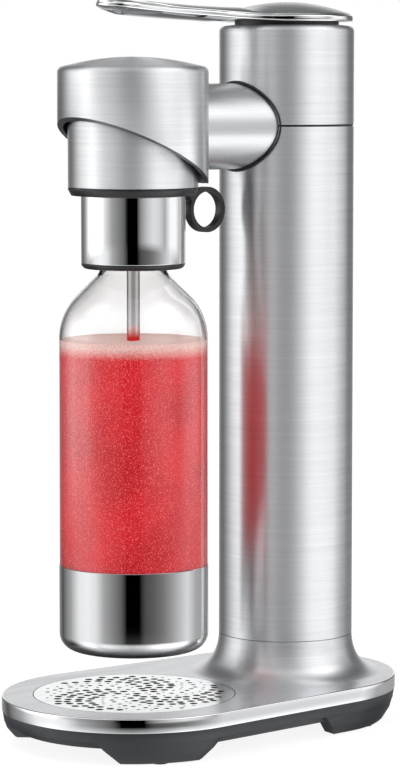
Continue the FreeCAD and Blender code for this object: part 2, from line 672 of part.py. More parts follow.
def make_co2_cylinder():
    r = CYLINDER_RADIUS
    wall = CYLINDER_WALL
    neck = CYLINDER_NECK_RADIUS
    foot = CYLINDER_FOOT
    stem = VALVE_STEM_RADIUS
    low = bent(foot, -45, r - foot, CYLINDER_BOTTOM + foot)
    shoulder_top = CYLINDER_SHOULDER + 26
    shoulder = (0.9 * r, CYLINDER_SHOULDER + 11)
    inside = (0.9 * (r - wall), CYLINDER_SHOULDER + 9)
    return turned(COLUMN_Y, (0, CYLINDER_BOTTOM + 5), (r - foot - 6, CYLINDER_BOTTOM + 3),
                  (r - foot, CYLINDER_BOTTOM), (*low, r, CYLINDER_BOTTOM + foot),
                  (r, CYLINDER_SHOULDER), (*shoulder, neck, shoulder_top), (neck, CYLINDER_NECK_TOP),
                  (stem, CYLINDER_NECK_TOP), (stem, shoulder_top - wall - 1),
                  (*inside, r - wall, CYLINDER_SHOULDER), (r - wall, CYLINDER_BOTTOM + foot + 4),
                  (r - foot - 4, CYLINDER_BOTTOM + 9), (0, CYLINDER_BOTTOM + 10))


def make_cylinder_valve():
    stem = VALVE_STEM_RADIUS - 0.02
    collar = VALVE_COLLAR_RADIUS
    thread = VALVE_THREAD_RADIUS
    foot = CYLINDER_NECK_TOP - VALVE_STEM_LENGTH
    collar_top = CYLINDER_NECK_TOP + VALVE_COLLAR_HEIGHT
    body = turned(COLUMN_Y, (0, foot), (stem, foot), (stem, CYLINDER_NECK_TOP),
                  (collar, CYLINDER_NECK_TOP), (collar, collar_top), (thread, collar_top),
                  (thread, VALVE_TOP - 1), (thread - 1, VALVE_TOP), (0, VALVE_TOP))
    return body.cut(cylinder(GAS_TUBE_RADIUS, VALVE_TOP - 6, VALVE_TOP + 1, COLUMN_Y))


def gas_pin(radius, y0, y1):
    """Cylinder along the gas pipe, from y0 forward to y1."""
    return Part.makeCylinder(radius, y0 - y1, Vector(0, y0, GAS_TUBE_Z), Vector(0, -1, 0))


def make_valve_block():
    """Block that takes the cylinder's thread, the plunger and the gas outlet."""
    block = cylinder(VALVE_BLOCK_RADIUS, BULKHEAD_TOP, VALVE_BLOCK_TOP, COLUMN_Y)
    flange = cylinder(VALVE_BLOCK_RADIUS + 6, BULKHEAD_TOP, BULKHEAD_TOP + FRAME_PLATE, COLUMN_Y)
    face_y = COLUMN_Y - VALVE_BLOCK_RADIUS
    boss = gas_pin(OUTLET_BOSS_RADIUS, face_y + 2, face_y - OUTLET_BOSS_LENGTH)
    block = block.multiFuse([flange, boss])
    block = block.cut(cylinder(VALVE_THREAD_RADIUS + VALVE_THREAD_GAP, 0, VALVE_TOP + 2, COLUMN_Y))
    block = block.cut(cylinder(PLUNGER_RADIUS + SLIDE_GAP, 0, VALVE_BLOCK_TOP + 1, COLUMN_Y))
    return block.cut(gas_pin(GAS_TUBE_RADIUS, COLUMN_Y - VALVE_THREAD_RADIUS + 2, face_y - 20))


def make_valve_seal():
    outer = VALVE_THREAD_RADIUS + VALVE_THREAD_GAP
    return ring(outer, PLUNGER_RADIUS + 1, VALVE_TOP + SEAT_GAP, VALVE_TOP + 2, COLUMN_Y)


def make_valve_plunger():
    rod = cylinder(PLUNGER_RADIUS, VALVE_TOP + 3, PLUNGER_TOP, COLUMN_Y)
    return rod.fuse(cylinder(BUTTON_RADIUS, PLUNGER_TOP - BUTTON_HEIGHT, PLUNGER_TOP, COLUMN_Y))


def make_plunger_spring():
    """Compression spring between the valve block and the plunger's button."""
    wire = SPRING_WIRE
    bottom = VALVE_BLOCK_TOP + wire
    top = PLUNGER_TOP - BUTTON_HEIGHT - wire
    helix = Part.makeHelix((top - bottom) / SPRING_TURNS, top - bottom, SPRING_RADIUS)
    start = helix.Vertexes[0].Point
    profile = Part.Wire([Part.makeCircle(wire, start, Vector(0, 1, 0))])
    spring = Part.Wire(helix.Edges).makePipeShell([profile], True, True)
    spring.translate(Vector(0, COLUMN_Y, bottom))
    return spring


def make_gas_tube():
    start = COLUMN_Y - VALVE_BLOCK_RADIUS - 1
    end = BOTTLE_Y + INJECTOR_RADIUS
    tube = gas_pin(GAS_TUBE_RADIUS, start, end)
    return tube.cut(gas_pin(GAS_TUBE_RADIUS - GAS_TUBE_WALL, start + 1, end - 1))


# ---- lever -----------------------------------------------------------------------------------

def crown_section(reach, half_width, crown, edge):
    """Upper half of the arm's section: a dome over its flat base."""
    y = COLUMN_Y - reach
    left = Vector(-half_width, y, LEVER_LIP_Z + edge)
    right = Vector(half_width, y, LEVER_LIP_Z + edge)
    top = Vector(0, y, LEVER_LIP_Z + crown)
    return Part.Wire([Part.Arc(left, top, right).toShape(), Part.makeLine(right, left)])


def keel_section(reach, half_width, edge, lip, keel):
    """Lower half of the arm's section: upright rim and curved underside."""
    y = COLUMN_Y - reach
    sides = ((-half_width, lip), (-half_width, edge), (half_width, edge), (half_width, lip))
    corners = [Vector(x, y, LEVER_LIP_Z + z) for x, z in sides]
    edges = [Part.makeLine(corners[n], corners[n + 1]) for n in range(3)]
    edges.append(Part.Arc(corners[3], Vector(0, y, LEVER_LIP_Z + keel), corners[0]).toShape())
    return Part.Wire(edges)


def crown_loft(rows):
    return Part.makeLoft([crown_section(*row[:4]) for row in rows], True, True)


def tip_trim():
    """Space behind the rounded outline of the lever's tip."""
    centre_y = COLUMN_Y - LEVER_TIP + LEVER_TIP_RADIUS
    low = LEVER_LIP_Z - 10
    high = LEVER_DOME_TOP + 10
    tip = cylinder(LEVER_TIP_RADIUS, low, high, centre_y)
    return tip.fuse(box(-60, 60, centre_y, COLUMN_Y + 60, low, high))


def make_lever_top():
    """Satin upper skin of the lever: the dome and the crown of the arm."""
    r = LEVER_RADIUS - INLAY_STEP
    dome = turned(COLUMN_Y, (0, RIM_TOP), (r, RIM_TOP), crown_step(r, RIM_TOP, LEVER_DOME_TOP))
    return dome.fuse(crown_loft([row for row in LEVER_ARM if row[0] <= LEVER_INLAY_END]))


def lever_eyes():
    """The lever's two hinge eyes, each on its web."""
    y = LEVER_PIVOT_Y
    eyes = []
    for x in (-EYE_SPREAD - EYE_WIDTH, EYE_SPREAD):
        web = box(x, x + EYE_WIDTH, y - EYE_RADIUS, y + EYE_RADIUS, LEVER_PIVOT_Z, LEVER_RECESS_TOP + 0.5)
        eye = Part.makeCylinder(EYE_RADIUS, EYE_WIDTH, Vector(x, y, LEVER_PIVOT_Z), Vector(1, 0, 0))
        eyes.append(web.fuse(eye))
    return eyes


def make_lever_body():
    """Polished lower half with its tip, hinge eyes and the boss that presses the plunger."""
    r = LEVER_RADIUS
    disc = turned(COLUMN_Y, (0, LEVER_LIP_Z), (r - 0.8, LEVER_LIP_Z), (r, LEVER_LIP_Z + 0.8),
                  (r, RIM_TOP - INLAY_STEP), (r - INLAY_STEP, RIM_TOP), (0, RIM_TOP))
    keel = Part.makeLoft([keel_section(row[0], row[1], *row[3:]) for row in LEVER_ARM], True, True)
    tip = crown_loft([row for row in LEVER_ARM if row[0] >= LEVER_INLAY_END])
    body = disc.multiFuse([keel.common(tip_trim()), tip.common(tip_trim())])
    body = body.cut(cylinder(r - LEVER_WALL, 0, LEVER_RECESS_TOP, COLUMN_Y))
    body = body.cut(cylinder(r - INLAY_STEP, RIM_TOP, LEVER_DOME_TOP, COLUMN_Y))
    boss_bottom = PLUNGER_TOP + PRESS_GAP
    boss = cylinder(PRESS_BOSS_RADIUS, boss_bottom, LEVER_RECESS_TOP + 0.5, COLUMN_Y)
    body = body.multiFuse([boss, *lever_eyes()])
    return body.cut(cross_pin(PIN_RADIUS + PIN_GAP, 20, LEVER_PIVOT_Y, LEVER_PIVOT_Z))


def make_lever_skirt():
    """Dark collar under the lever that closes the housing's mouth."""
    inner = LEVER_SKIRT_RADIUS - 1.6
    return ring(LEVER_SKIRT_RADIUS, inner, LEVER_PIVOT_Z - 0.5, LEVER_RECESS_TOP, COLUMN_Y)


def make_lever_bracket():
    """Sheet bracket on the top plate, with an ear outside each of the lever's eyes."""
    y = LEVER_PIVOT_Y
    top = TOP_PLATE_Z + BRACKET_SHEET
    room = EYE_SPREAD + EYE_WIDTH + 1.6
    plate = box(-24, 24, y - 12, y + 8, TOP_PLATE_Z, top)
    plate = plate.cut(box(-room, room, y - 7, y + 9, TOP_PLATE_Z - 1, top + 1))
    plate = plate.cut(cylinder(TOP_BORE, 0, LEVER_LIP_Z, COLUMN_Y))
    ears = [box(x, x + EYE_WIDTH, y - 5, y + 5, TOP_PLATE_Z, LEVER_PIVOT_Z + EYE_RADIUS)
            for x in (-EAR_SPREAD - EYE_WIDTH, EAR_SPREAD)]
    return plate.multiFuse(ears).cut(cross_pin(PIN_RADIUS, 30, y, LEVER_PIVOT_Z))


def make_lever_pin():
    return cross_pin(PIN_RADIUS, PIN_HALF_LENGTH, LEVER_PIVOT_Y, LEVER_PIVOT_Z)


# ---- arm -------------------------------------------------------------------------------------

def make_arm_shell():
    shell = arm_bar(ARM_HALF_WIDTH, ARM_HALF_HEIGHT, BOTTLE_Y, COLUMN_Y)
    shell = shell.cut(arm_bar(ARM_HALF_WIDTH - ARM_WALL, ARM_HALF_HEIGHT - ARM_WALL,
                              BOTTLE_Y - 1, COLUMN_Y + 1))
    shell = shell.cut(cylinder(HEAD_RADIUS, ARM_Z - 60, ARM_Z + 60, BOTTLE_Y))
    return shell.cut(cylinder(COLUMN_RADIUS, ARM_Z - 60, ARM_Z + 60, COLUMN_Y))


def make_arm_gasket():
    """Rubber ring round the arm, on the column."""
    bar = arm_bar(ARM_HALF_WIDTH + GASKET_WIDTH, ARM_HALF_HEIGHT + GASKET_WIDTH,
                  BOTTLE_Y + HEAD_RADIUS, COLUMN_Y)
    bar = bar.cut(arm_bar(ARM_HALF_WIDTH, ARM_HALF_HEIGHT, BOTTLE_Y, COLUMN_Y + 1))
    around = ring(COLUMN_RADIUS + GASKET_PROUD, COLUMN_RADIUS, ARM_Z - 60, ARM_Z + 60, COLUMN_Y)
    return bar.common(around)


def make_arm_frame():
    """Cast tube that carries the head, plugged into the column frame."""
    half_width = ARM_HALF_WIDTH - ARM_WALL - FRAME_GAP
    half_height = ARM_HALF_HEIGHT - ARM_WALL - FRAME_GAP
    start = BOTTLE_Y + COLLAR_RADIUS - COLLAR_WALL
    end = COLUMN_Y - FRAME_BORE + 3
    frame = arm_bar(half_width, half_height, start, end)
    return frame.cut(arm_bar(half_width - 3, half_height - 3, start - 1, end + 1))


# ---- head ------------------------------------------------------------------------------------

def cut_height(back):
    """Height of the cover's slanting lower edge, at a distance behind the bottle axis."""
    return CUT_MID_Z - CUT_RISE * back / HEAD_RADIUS


def make_head_cover():
    r = HEAD_RADIUS
    edge_r = r - HEAD_EDGE
    edge_z = HEAD_SIDE_TOP + HEAD_EDGE
    corner = bent(HEAD_EDGE, 45, edge_r, HEAD_SIDE_TOP)
    bottom = CUT_REAR_Z
    cover = turned(BOTTLE_Y, (HEAD_BORE, bottom), (r, bottom), (r, HEAD_SIDE_TOP),
                   (*corner, edge_r, edge_z), crown_step(edge_r, edge_z, HEAD_DOME_TOP),
                   (0, HEAD_DOME_TOP - HEAD_WALL),
                   crown_step(HEAD_BORE, HEAD_SIDE_TOP, HEAD_DOME_TOP - HEAD_WALL, False))
    flat_back = (CUT_MID_Z - CUT_REAR_Z) * HEAD_RADIUS / CUT_RISE
    front = -HEAD_RADIUS - 10
    low = CUT_REAR_Z - 10
    wedge = side_prism([(BOTTLE_Y + front, cut_height(front)), (BOTTLE_Y + flat_back, CUT_REAR_Z),
                        (BOTTLE_Y + flat_back, low), (BOTTLE_Y + front, low)], HEAD_RADIUS + 10)
    return cover.cut(wedge).cut(arm_hole(FRAME_GAP))


def make_head_collar():
    collar = ring(COLLAR_RADIUS, COLLAR_RADIUS - COLLAR_WALL, COLLAR_BOTTOM, HEAD_FLOOR_Z, BOTTLE_Y)
    return collar.cut(arm_hole(FRAME_GAP))


def make_head_frame():
    """Inner chassis of the head: a lid over the collar and the hub that holds the bayonet ring."""
    outer = COLLAR_RADIUS - COLLAR_WALL
    bore = COLLAR_OUT_RADIUS + SLIDE_GAP
    lid = cylinder(HEAD_BORE - FRAME_GAP, HEAD_FLOOR_Z, HEAD_FLOOR_Z + HEAD_FLOOR, BOTTLE_Y)
    hub = ring(outer, bore, COLLAR_BOTTOM + 0.6, HEAD_FLOOR_Z, BOTTLE_Y)
    groove_top = BAYONET_Z + BAYONET_SHEET + SLIDE_GAP
    hub = hub.cut(cylinder(bore + BAYONET_FLANGE, BAYONET_Z - SEAT_GAP, groove_top, BOTTLE_Y))
    frame = lid.fuse(hub)
    behind = box(-60, 60, BOTTLE_Y + 20, BOTTLE_Y + 60, BAYONET_Z + 6, HEAD_FLOOR_Z - 1)
    beside = box(-60, 60, BOTTLE_Y + outer, BOTTLE_Y + 60, ARM_Z, HEAD_FLOOR_Z + HEAD_FLOOR + 1)
    return frame.cut(behind.common(arm_hole(FRAME_GAP))).cut(beside.common(arm_hole(FRAME_GAP)))


def make_injector_block():
    """Block on the head's lid that turns the gas down into the nozzle."""
    bottom = HEAD_FLOOR_Z - INJECTOR_HEIGHT
    block = cylinder(INJECTOR_RADIUS, bottom, HEAD_FLOOR_Z, BOTTLE_Y)
    block = block.fuse(cylinder(NOZZLE_RADIUS, CAP_TOP + 2, bottom + 1, BOTTLE_Y))
    block = block.cut(cylinder(NOZZLE_BORE, CAP_TOP, GAS_TUBE_Z, BOTTLE_Y))
    return block.cut(gas_pin(NOZZLE_BORE, BOTTLE_Y + INJECTOR_RADIUS + 1, BOTTLE_Y))


def make_nozzle_seal():
    return Part.makeTorus(NOZZLE_RADIUS + 1, 1.0, Vector(0, BOTTLE_Y, CAP_TOP + 6))


def lug_boxes(width, reach, bottom, top):
    """Radial blocks evenly round the bottle axis."""
    blocks = []
    for n in range(LUG_COUNT):
        block = box(-width / 2, width / 2, -reach, 0, bottom, top)
        block.rotate(Vector(0, 0, 0), Vector(0, 0, 1), n * 360 / LUG_COUNT)
        block.translate(Vector(0, BOTTLE_Y, 0))
        blocks.append(block)
    return Part.makeCompound(blocks)


def make_bayonet_collar():
    """Ring that turns in the head and carries the cap by its lugs."""
    top = BAYONET_Z + BAYONET_SHEET
    flange = ring(COLLAR_OUT_RADIUS + BAYONET_FLANGE, COLLAR_IN_RADIUS, BAYONET_Z, top, BOTTLE_Y)
    wall = ring(COLLAR_OUT_RADIUS, COLLAR_IN_RADIUS, COLLAR_BOTTOM + 0.6, top, BOTTLE_Y)
    slots = lug_boxes(LUG_WIDTH + 2 * SLIDE_GAP, PLUG_RADIUS + LUG_REACH + SLIDE_GAP,
                      CAP_TOP, PLUG_TOP - 1.5)
    return wall.fuse(flange).cut(slots)


# ---- cap -------------------------------------------------------------------------------------

def cap_lugs():
    """Bayonet lugs round the cap's plug."""
    reach = PLUG_RADIUS + LUG_REACH
    lugs = lug_boxes(LUG_WIDTH, reach, CAP_TOP, PLUG_TOP - 2)
    lugs = lugs.cut(cylinder(PLUG_RADIUS - 1, CAP_TOP - 1, PLUG_TOP, BOTTLE_Y))
    return lugs.common(cylinder(reach, 0, PLUG_TOP, BOTTLE_Y)).Solids


def cap_ears():
    """The two ears that hold the release ring's pin."""
    ears = []
    for x in (-EAR_GAP - EAR_THICKNESS, EAR_GAP):
        ears.append(box(x, x + EAR_THICKNESS, HINGE_Y - 7, HINGE_Y, HINGE_Z - KNUCKLE_RADIUS + 0.8,
                        HINGE_Z + KNUCKLE_RADIUS))
        ears.append(Part.makeCylinder(KNUCKLE_RADIUS, EAR_THICKNESS, Vector(x, HINGE_Y, HINGE_Z),
                                      Vector(1, 0, 0)))
    return ears


def make_cap_flange():
    """Black top of the cap: flange, plug with lugs, and ears for the release ring."""
    r = COLLAR_RADIUS
    body = turned(BOTTLE_Y, (CAP_BORE, FLANGE_BOTTOM), (r - 1.9, FLANGE_BOTTOM), (r, CAP_TOP - 0.8),
                  (r, CAP_TOP), (PLUG_RADIUS, CAP_TOP), (PLUG_RADIUS, PLUG_TOP), (CAP_BORE, PLUG_TOP))
    body = body.cut(ring(PLUG_RADIUS - CAP_SKIN, CAP_BORE + CAP_SKIN, CAP_TOP + 3, PLUG_TOP + 1, BOTTLE_Y))
    body = body.multiFuse([*cap_lugs(), *cap_ears()])
    body = body.cut(cross_pin(KNUCKLE_RADIUS + SLIDE_GAP, EAR_GAP, HINGE_Y, HINGE_Z))
    body = body.cut(cross_pin(RING_RADIUS + 2 * SLIDE_GAP, EAR_GAP, RING_Y, RING_Z))
    return body.cut(cross_pin(HINGE_PIN_RADIUS, 10, HINGE_Y, HINGE_Z))


def make_cap_sleeve():
    return ring(SLEEVE_RADIUS, SLEEVE_BORE, SLEEVE_BOTTOM, FLANGE_BOTTOM, BOTTLE_Y)


def make_cap_base_ring():
    """Black lower edge of the cap, rounded in towards the neck."""
    inner = NECK_RADIUS + THREAD_PROUD + 3 * SLIDE_GAP
    outer = SLEEVE_RADIUS - SEAT_GAP
    height = SLEEVE_BOTTOM - CAP_BOTTOM
    corner = bent(height, -45, outer - height, SLEEVE_BOTTOM)
    return turned(BOTTLE_Y, (inner, CAP_BOTTOM), (outer - height, CAP_BOTTOM),
                  (*corner, outer, SLEEVE_BOTTOM), (inner, SLEEVE_BOTTOM))


def thread_heights(first, count):
    return [first + n * THREAD_PITCH for n in range(count)]


def make_cap_core():
    """Moulded inside of the cap, with the screw thread for the bottle's neck."""
    bore = NECK_RADIUS + THREAD_PROUD + 0.5
    seat = NECK_TOP + 2
    roof_top = seat + 4
    core = ring(SLEEVE_BORE, bore, SLEEVE_BOTTOM, seat, BOTTLE_Y)
    roof = ring(SLEEVE_BORE, TUBE_RADIUS, seat, roof_top, BOTTLE_Y)
    post = ring(CAP_BORE - 0.5, TUBE_RADIUS, roof_top, FLANGE_BOTTOM, BOTTLE_Y)
    rim = ring(SLEEVE_BORE, SLEEVE_BORE - CAP_SKIN, roof_top, FLANGE_BOTTOM, BOTTLE_Y)
    first = CAP_BOTTOM + 9.4
    ribs = [ring(bore + 0.2, NECK_RADIUS + SLIDE_GAP, z, z + THREAD_WIDTH, BOTTLE_Y)
            for z in thread_heights(first, 3)]
    core = core.multiFuse([roof, post, rim, *ribs])
    return core.cut(cylinder(VALVE_STEM, 0, FLANGE_BOTTOM, BOTTLE_Y + VALVE_BACK))


def make_cap_gasket():
    return ring(NECK_RADIUS + 0.9, NECK_RADIUS - 4, NECK_TOP + SEAT_GAP, NECK_TOP + 2, BOTTLE_Y)


def make_pressure_valve():
    """Poppet that the release ring opens, and that lifts by itself at too high a pressure."""
    y = BOTTLE_Y + VALVE_BACK
    stem = cylinder(VALVE_STEM - 0.02, NECK_TOP + 2.3, FLANGE_BOTTOM - SLIDE_GAP, y)
    return stem.fuse(cylinder(VALVE_STEM + 1.6, NECK_TOP + 6, NECK_TOP + 9, y))


def make_dip_tube():
    bore = TUBE_RADIUS - TUBE_WALL
    return ring(TUBE_RADIUS, bore, TUBE_BOTTOM + TIP_LENGTH, FLANGE_BOTTOM + 2, BOTTLE_Y)


def make_tube_tip():
    """Black nozzle at the end of the tube."""
    top = TUBE_BOTTOM + TIP_LENGTH
    tip = cylinder(TUBE_RADIUS, TUBE_BOTTOM, top, BOTTLE_Y)
    plug = cylinder(TUBE_RADIUS - TUBE_WALL, top, top + 4, BOTTLE_Y)
    return tip.fuse(plug).cut(cylinder(TIP_BORE, 0, top + 5, BOTTLE_Y))


def make_release_ring():
    """Finger ring on its hinge knuckle."""
    half = RING_WIDTH / 2
    loop = cross_pin(RING_RADIUS, half, RING_Y, RING_Z)
    knuckle = cross_pin(KNUCKLE_RADIUS, half, HINGE_Y, HINGE_Z)
    neck = side_prism([(HINGE_Y - 1.0, HINGE_Z + 2.0), (HINGE_Y + 4.5, HINGE_Z + 1.2),
                       (RING_Y - 6, RING_Z + RING_RADIUS - 3), (RING_Y - RING_RADIUS + 1.4, RING_Z + 5),
                       (HINGE_Y - 0.6, HINGE_Z - 1.8)], half)
    body = loop.multiFuse([knuckle, neck])
    body = body.cut(cross_pin(RING_RADIUS - RING_WALL, half + 1, RING_Y, RING_Z))
    return body.cut(cross_pin(HINGE_PIN_RADIUS + PIN_GAP, half + 1, HINGE_Y, HINGE_Z))


def make_release_pin():
    return cross_pin(HINGE_PIN_RADIUS, EAR_GAP + EAR_THICKNESS, HINGE_Y, HINGE_Z)


# ---- bottle ----------------------------------------------------------------------------------

def shoulder_steps(thickness):
    """Outline from the bottle's side over the shoulder to its neck, set in by a thickness."""
    centre_r = BOTTLE_RADIUS - SHOULDER_ROUND
    bend = SHOULDER_ROUND - thickness
    mid = bent(bend, 22.5, centre_r, SHOULDER_Z)
    end = bent(bend, 45, centre_r, SHOULDER_Z)
    neck = NECK_RADIUS - thickness * NECK_WALL / BOTTLE_WALL
    foot_r = neck + NECK_ROUND * (1 - HALF_ROOT)
    foot_z = end[1] + end[0] - foot_r
    start_z = foot_z + NECK_ROUND * HALF_ROOT
    turn = bent(NECK_ROUND, 202.5, neck + NECK_ROUND, start_z)
    return [(*mid, *end), (foot_r, foot_z), (*turn, neck, start_z), (neck, NECK_TOP)]


def make_bottle():
    r = BOTTLE_RADIUS
    in_cup = CUP_BORE
    bottom = CUP_BOTTOM + CUP_WALL
    edge = CUP_EDGE - CUP_WALL
    low = bent(edge, -45, in_cup - edge, bottom + edge)
    low_in = bent(edge - BOTTLE_WALL, -45, in_cup - edge, bottom + edge)
    outer = [(in_cup - edge, bottom), (*low, in_cup, bottom + edge), (in_cup, CUP_TOP), (r, CUP_TOP),
             (r, SHOULDER_Z), *shoulder_steps(0)]
    wall_r = r - BOTTLE_WALL
    inside_edge = in_cup - BOTTLE_WALL
    inner = turned(BOTTLE_Y, (0, bottom + BOTTLE_WALL), (in_cup - edge, bottom + BOTTLE_WALL),
                   (*low_in, inside_edge, bottom + edge), (inside_edge, CUP_TOP - 2),
                   (wall_r, CUP_TOP + 2), (wall_r, SHOULDER_Z), *shoulder_steps(BOTTLE_WALL),
                   (0, NECK_TOP))
    body = turned(BOTTLE_Y, (0, bottom), *outer, (0, NECK_TOP))
    first = CAP_BOTTOM + 11.8
    ribs = [ring(NECK_RADIUS + THREAD_PROUD, NECK_RADIUS - 1, z, z + THREAD_WIDTH, BOTTLE_Y)
            for z in thread_heights(first, 3)]
    return body.multiFuse(ribs).cut(inner)


def make_bottle_cup():
    """Polished steel cup round the bottle's foot."""
    r = CUP_RADIUS
    e = CUP_EDGE
    low = bent(e, -45, r - e, CUP_BOTTOM + e)
    low_in = bent(e - CUP_WALL, -45, r - e, CUP_BOTTOM + e)
    return turned(BOTTLE_Y, (0, CUP_BOTTOM), (r - e, CUP_BOTTOM), (*low, r, CUP_BOTTOM + e),
                  (r, CUP_TOP), (r - CUP_WALL, CUP_TOP), (r - CUP_WALL, CUP_BOTTOM + e),
                  (*low_in, r - e, CUP_BOTTOM + CUP_WALL), (0, CUP_BOTTOM + CUP_WALL))


def make_drink():
    """Coloured drink that fills the bottle to just under its shoulder."""
    in_cup = CUP_BORE - BOTTLE_WALL
    bottom = CUP_BOTTOM + CUP_WALL + BOTTLE_WALL
    edge = CUP_EDGE - CUP_WALL - BOTTLE_WALL
    r = BOTTLE_RADIUS - BOTTLE_WALL
    low = bent(edge, -45, in_cup - edge, bottom + edge)
    drink = turned(BOTTLE_Y, (0, bottom), (in_cup - edge, bottom), (*low, in_cup, bottom + edge),
                   (in_cup, CUP_TOP - 2), (r, CUP_TOP + 2), (r, DRINK_Z), (0, DRINK_Z))
    return drink.cut(cylinder(TUBE_RADIUS + SLIDE_GAP, TUBE_BOTTOM - SLIDE_GAP, DRINK_Z + 1, BOTTLE_Y))


def main():
    os.makedirs("parts", exist_ok=True)
    export("base_plate", make_base_plate())
    export("trim_band", make_trim_band())
    export("base_skirt", make_base_skirt())
    export("ballast_plate", make_ballast_plate())
    export("foot_pads", make_foot_pads())
    export("base_screws", make_base_screws())
    export("drip_tray", make_drip_tray())
    export("drip_grille", make_drip_grille())
    export("column_tube", make_column_tube())
    export("seam_ring", make_seam_ring())
    export("rear_cover", make_rear_cover())
    export("cover_liner", make_cover_liner())
    export("column_frame", make_column_frame())
    export("upper_housing", make_upper_housing())
    export("co2_cylinder", make_co2_cylinder())
    export("cylinder_valve", make_cylinder_valve())
    export("valve_block", make_valve_block())
    export("valve_seal", make_valve_seal())
    export("valve_plunger", make_valve_plunger())
    export("plunger_spring", make_plunger_spring())
    export("gas_tube", make_gas_tube())
    export("lever_top", make_lever_top())
    export("lever_body", make_lever_body())
    export("lever_skirt", make_lever_skirt())
    export("lever_bracket", make_lever_bracket())
    export("lever_pin", make_lever_pin())
    export("arm_shell", make_arm_shell())
    export("arm_gasket", make_arm_gasket())
    export("arm_frame", make_arm_frame())
    export("head_cover", make_head_cover())
    export("head_collar", make_head_collar())
    export("head_frame", make_head_frame())
    export("injector_block", make_injector_block())
    export("nozzle_seal", make_nozzle_seal())
    export("bayonet_collar", make_bayonet_collar())
    export("cap_flange", make_cap_flange())
    export("cap_sleeve", make_cap_sleeve())
    export("cap_base_ring", make_cap_base_ring())
    export("cap_core", make_cap_core())
    export("cap_gasket", make_cap_gasket())
    export("pressure_valve", make_pressure_valve())
    export("dip_tube", make_dip_tube())
    export("tube_tip", make_tube_tip())
    export("release_ring", make_release_ring())
    export("release_pin", make_release_pin())
    export("bottle", make_bottle())
    export("bottle_cup", make_bottle_cup())
    export("drink", make_drink())


main()
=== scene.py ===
"""Looks of a counter-top soda carbonator: brushed and polished steel, a clear bottle and a red drink.

The file is laid out as an add-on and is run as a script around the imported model. Lengths are metres,
+Z is up and the front, where the bottle hangs, is -Y.
"""
import math

import bmesh
import bpy
from bpy.props import FloatProperty, FloatVectorProperty, PointerProperty
from mathutils import Matrix, Vector, noise


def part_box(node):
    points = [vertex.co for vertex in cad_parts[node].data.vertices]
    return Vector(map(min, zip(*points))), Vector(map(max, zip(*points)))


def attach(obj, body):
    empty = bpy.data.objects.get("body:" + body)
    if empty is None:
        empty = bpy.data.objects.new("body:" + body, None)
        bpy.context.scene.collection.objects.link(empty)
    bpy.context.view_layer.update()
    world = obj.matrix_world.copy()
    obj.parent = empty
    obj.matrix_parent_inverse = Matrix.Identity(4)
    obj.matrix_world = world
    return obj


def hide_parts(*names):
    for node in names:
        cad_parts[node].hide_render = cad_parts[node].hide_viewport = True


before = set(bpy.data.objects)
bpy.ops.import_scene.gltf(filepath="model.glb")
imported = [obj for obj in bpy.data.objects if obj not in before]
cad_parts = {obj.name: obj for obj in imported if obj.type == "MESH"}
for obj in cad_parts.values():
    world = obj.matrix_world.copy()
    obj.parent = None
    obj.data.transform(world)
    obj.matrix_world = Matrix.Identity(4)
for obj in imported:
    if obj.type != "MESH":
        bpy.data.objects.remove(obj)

bl_info = {
    "name": "Soda carbonator",
    "version": (1, 0, 0),
    "blender": (4, 5, 0),
    "location": "3D View > Sidebar > Carbonator",
    "description": "Builds the finishes and fine shapes of a soda carbonator",
    "category": "Object",
}

MM = 0.001


def low(node):
    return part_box(node)[0]


def high(node):
    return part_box(node)[1]


def middle(node):
    return (low(node) + high(node)) / 2


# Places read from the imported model
BOTTLE_Y = middle("bottle").y
COLUMN_Y = middle("upper_housing").y
BACK_R = 72.6 * MM         # radius of the base's round back
BACK_Y = high("trim_band").y - BACK_R
DECK_Z = high("trim_band").z
BAND_BOTTOM = low("trim_band").z
COLUMN_R = high("upper_housing").x
HOUSING_TOP = high("upper_housing").z
HOUSING_BOTTOM = low("upper_housing").z
HEAD_R = high("head_cover").x
COLLAR_R = high("head_collar").x
BOTTLE_R = high("bottle").x
CUP_R = high("bottle_cup").x
ARM_HALF_WIDTH = high("arm_shell").x
ARM_HALF_HEIGHT = (high("arm_shell").z - low("arm_shell").z) / 2
ARM_Z = middle("arm_shell").z
SLEEVE_R = high("cap_sleeve").x

FULL_TURN = 2 * math.pi
RIPPLE_FREE = 192          # steps round a full turn that leave no flats to be seen


# ---- shader helpers ----

def feed(tree, node, inputs):
    """Sets a node's inputs. A value is a number, a colour or another node's output."""
    for name, value in inputs.items():
        if isinstance(value, bpy.types.NodeSocket):
            tree.links.new(value, node.inputs[name])
        else:
            node.inputs[name].default_value = value


def add(tree, kind, inputs=None, **settings):
    """Adds a shader node."""
    node = tree.nodes.new("ShaderNode" + kind)
    for name, value in settings.items():
        setattr(node, name, value)
    feed(tree, node, inputs or {})
    return node


def math_node(tree, operation, *values):
    """A sum on numbers or other nodes' outputs."""
    return add(tree, "Math", dict(enumerate(values)), operation=operation).outputs[0]


def object_place(tree):
    """A point's place on the model, and its height."""
    place = add(tree, "TexCoord").outputs["Object"]
    return place, add(tree, "SeparateXYZ", {"Vector": place}).outputs["Z"]


def toned(colour, share):
    """A colour made darker or lighter."""
    return tuple(share * c for c in colour)


def shared_group(name, inputs, outputs, build):
    """A shader group, built when it is first asked for; a socket is (label, kind, default)."""
    tree = bpy.data.node_groups.get(name)
    if tree is None:
        tree = bpy.data.node_groups.new(name, "ShaderNodeTree")
        for label, kind, default in inputs:
            socket = tree.interface.new_socket(label, in_out="INPUT", socket_type="NodeSocket" + kind)
            socket.default_value = default
        for label in outputs:
            tree.interface.new_socket(label, in_out="OUTPUT", socket_type="NodeSocketFloat")
        entry, leave = tree.nodes.new("NodeGroupInput"), tree.nodes.new("NodeGroupOutput")
        feed(tree, leave, build(tree, entry.outputs))
    return tree


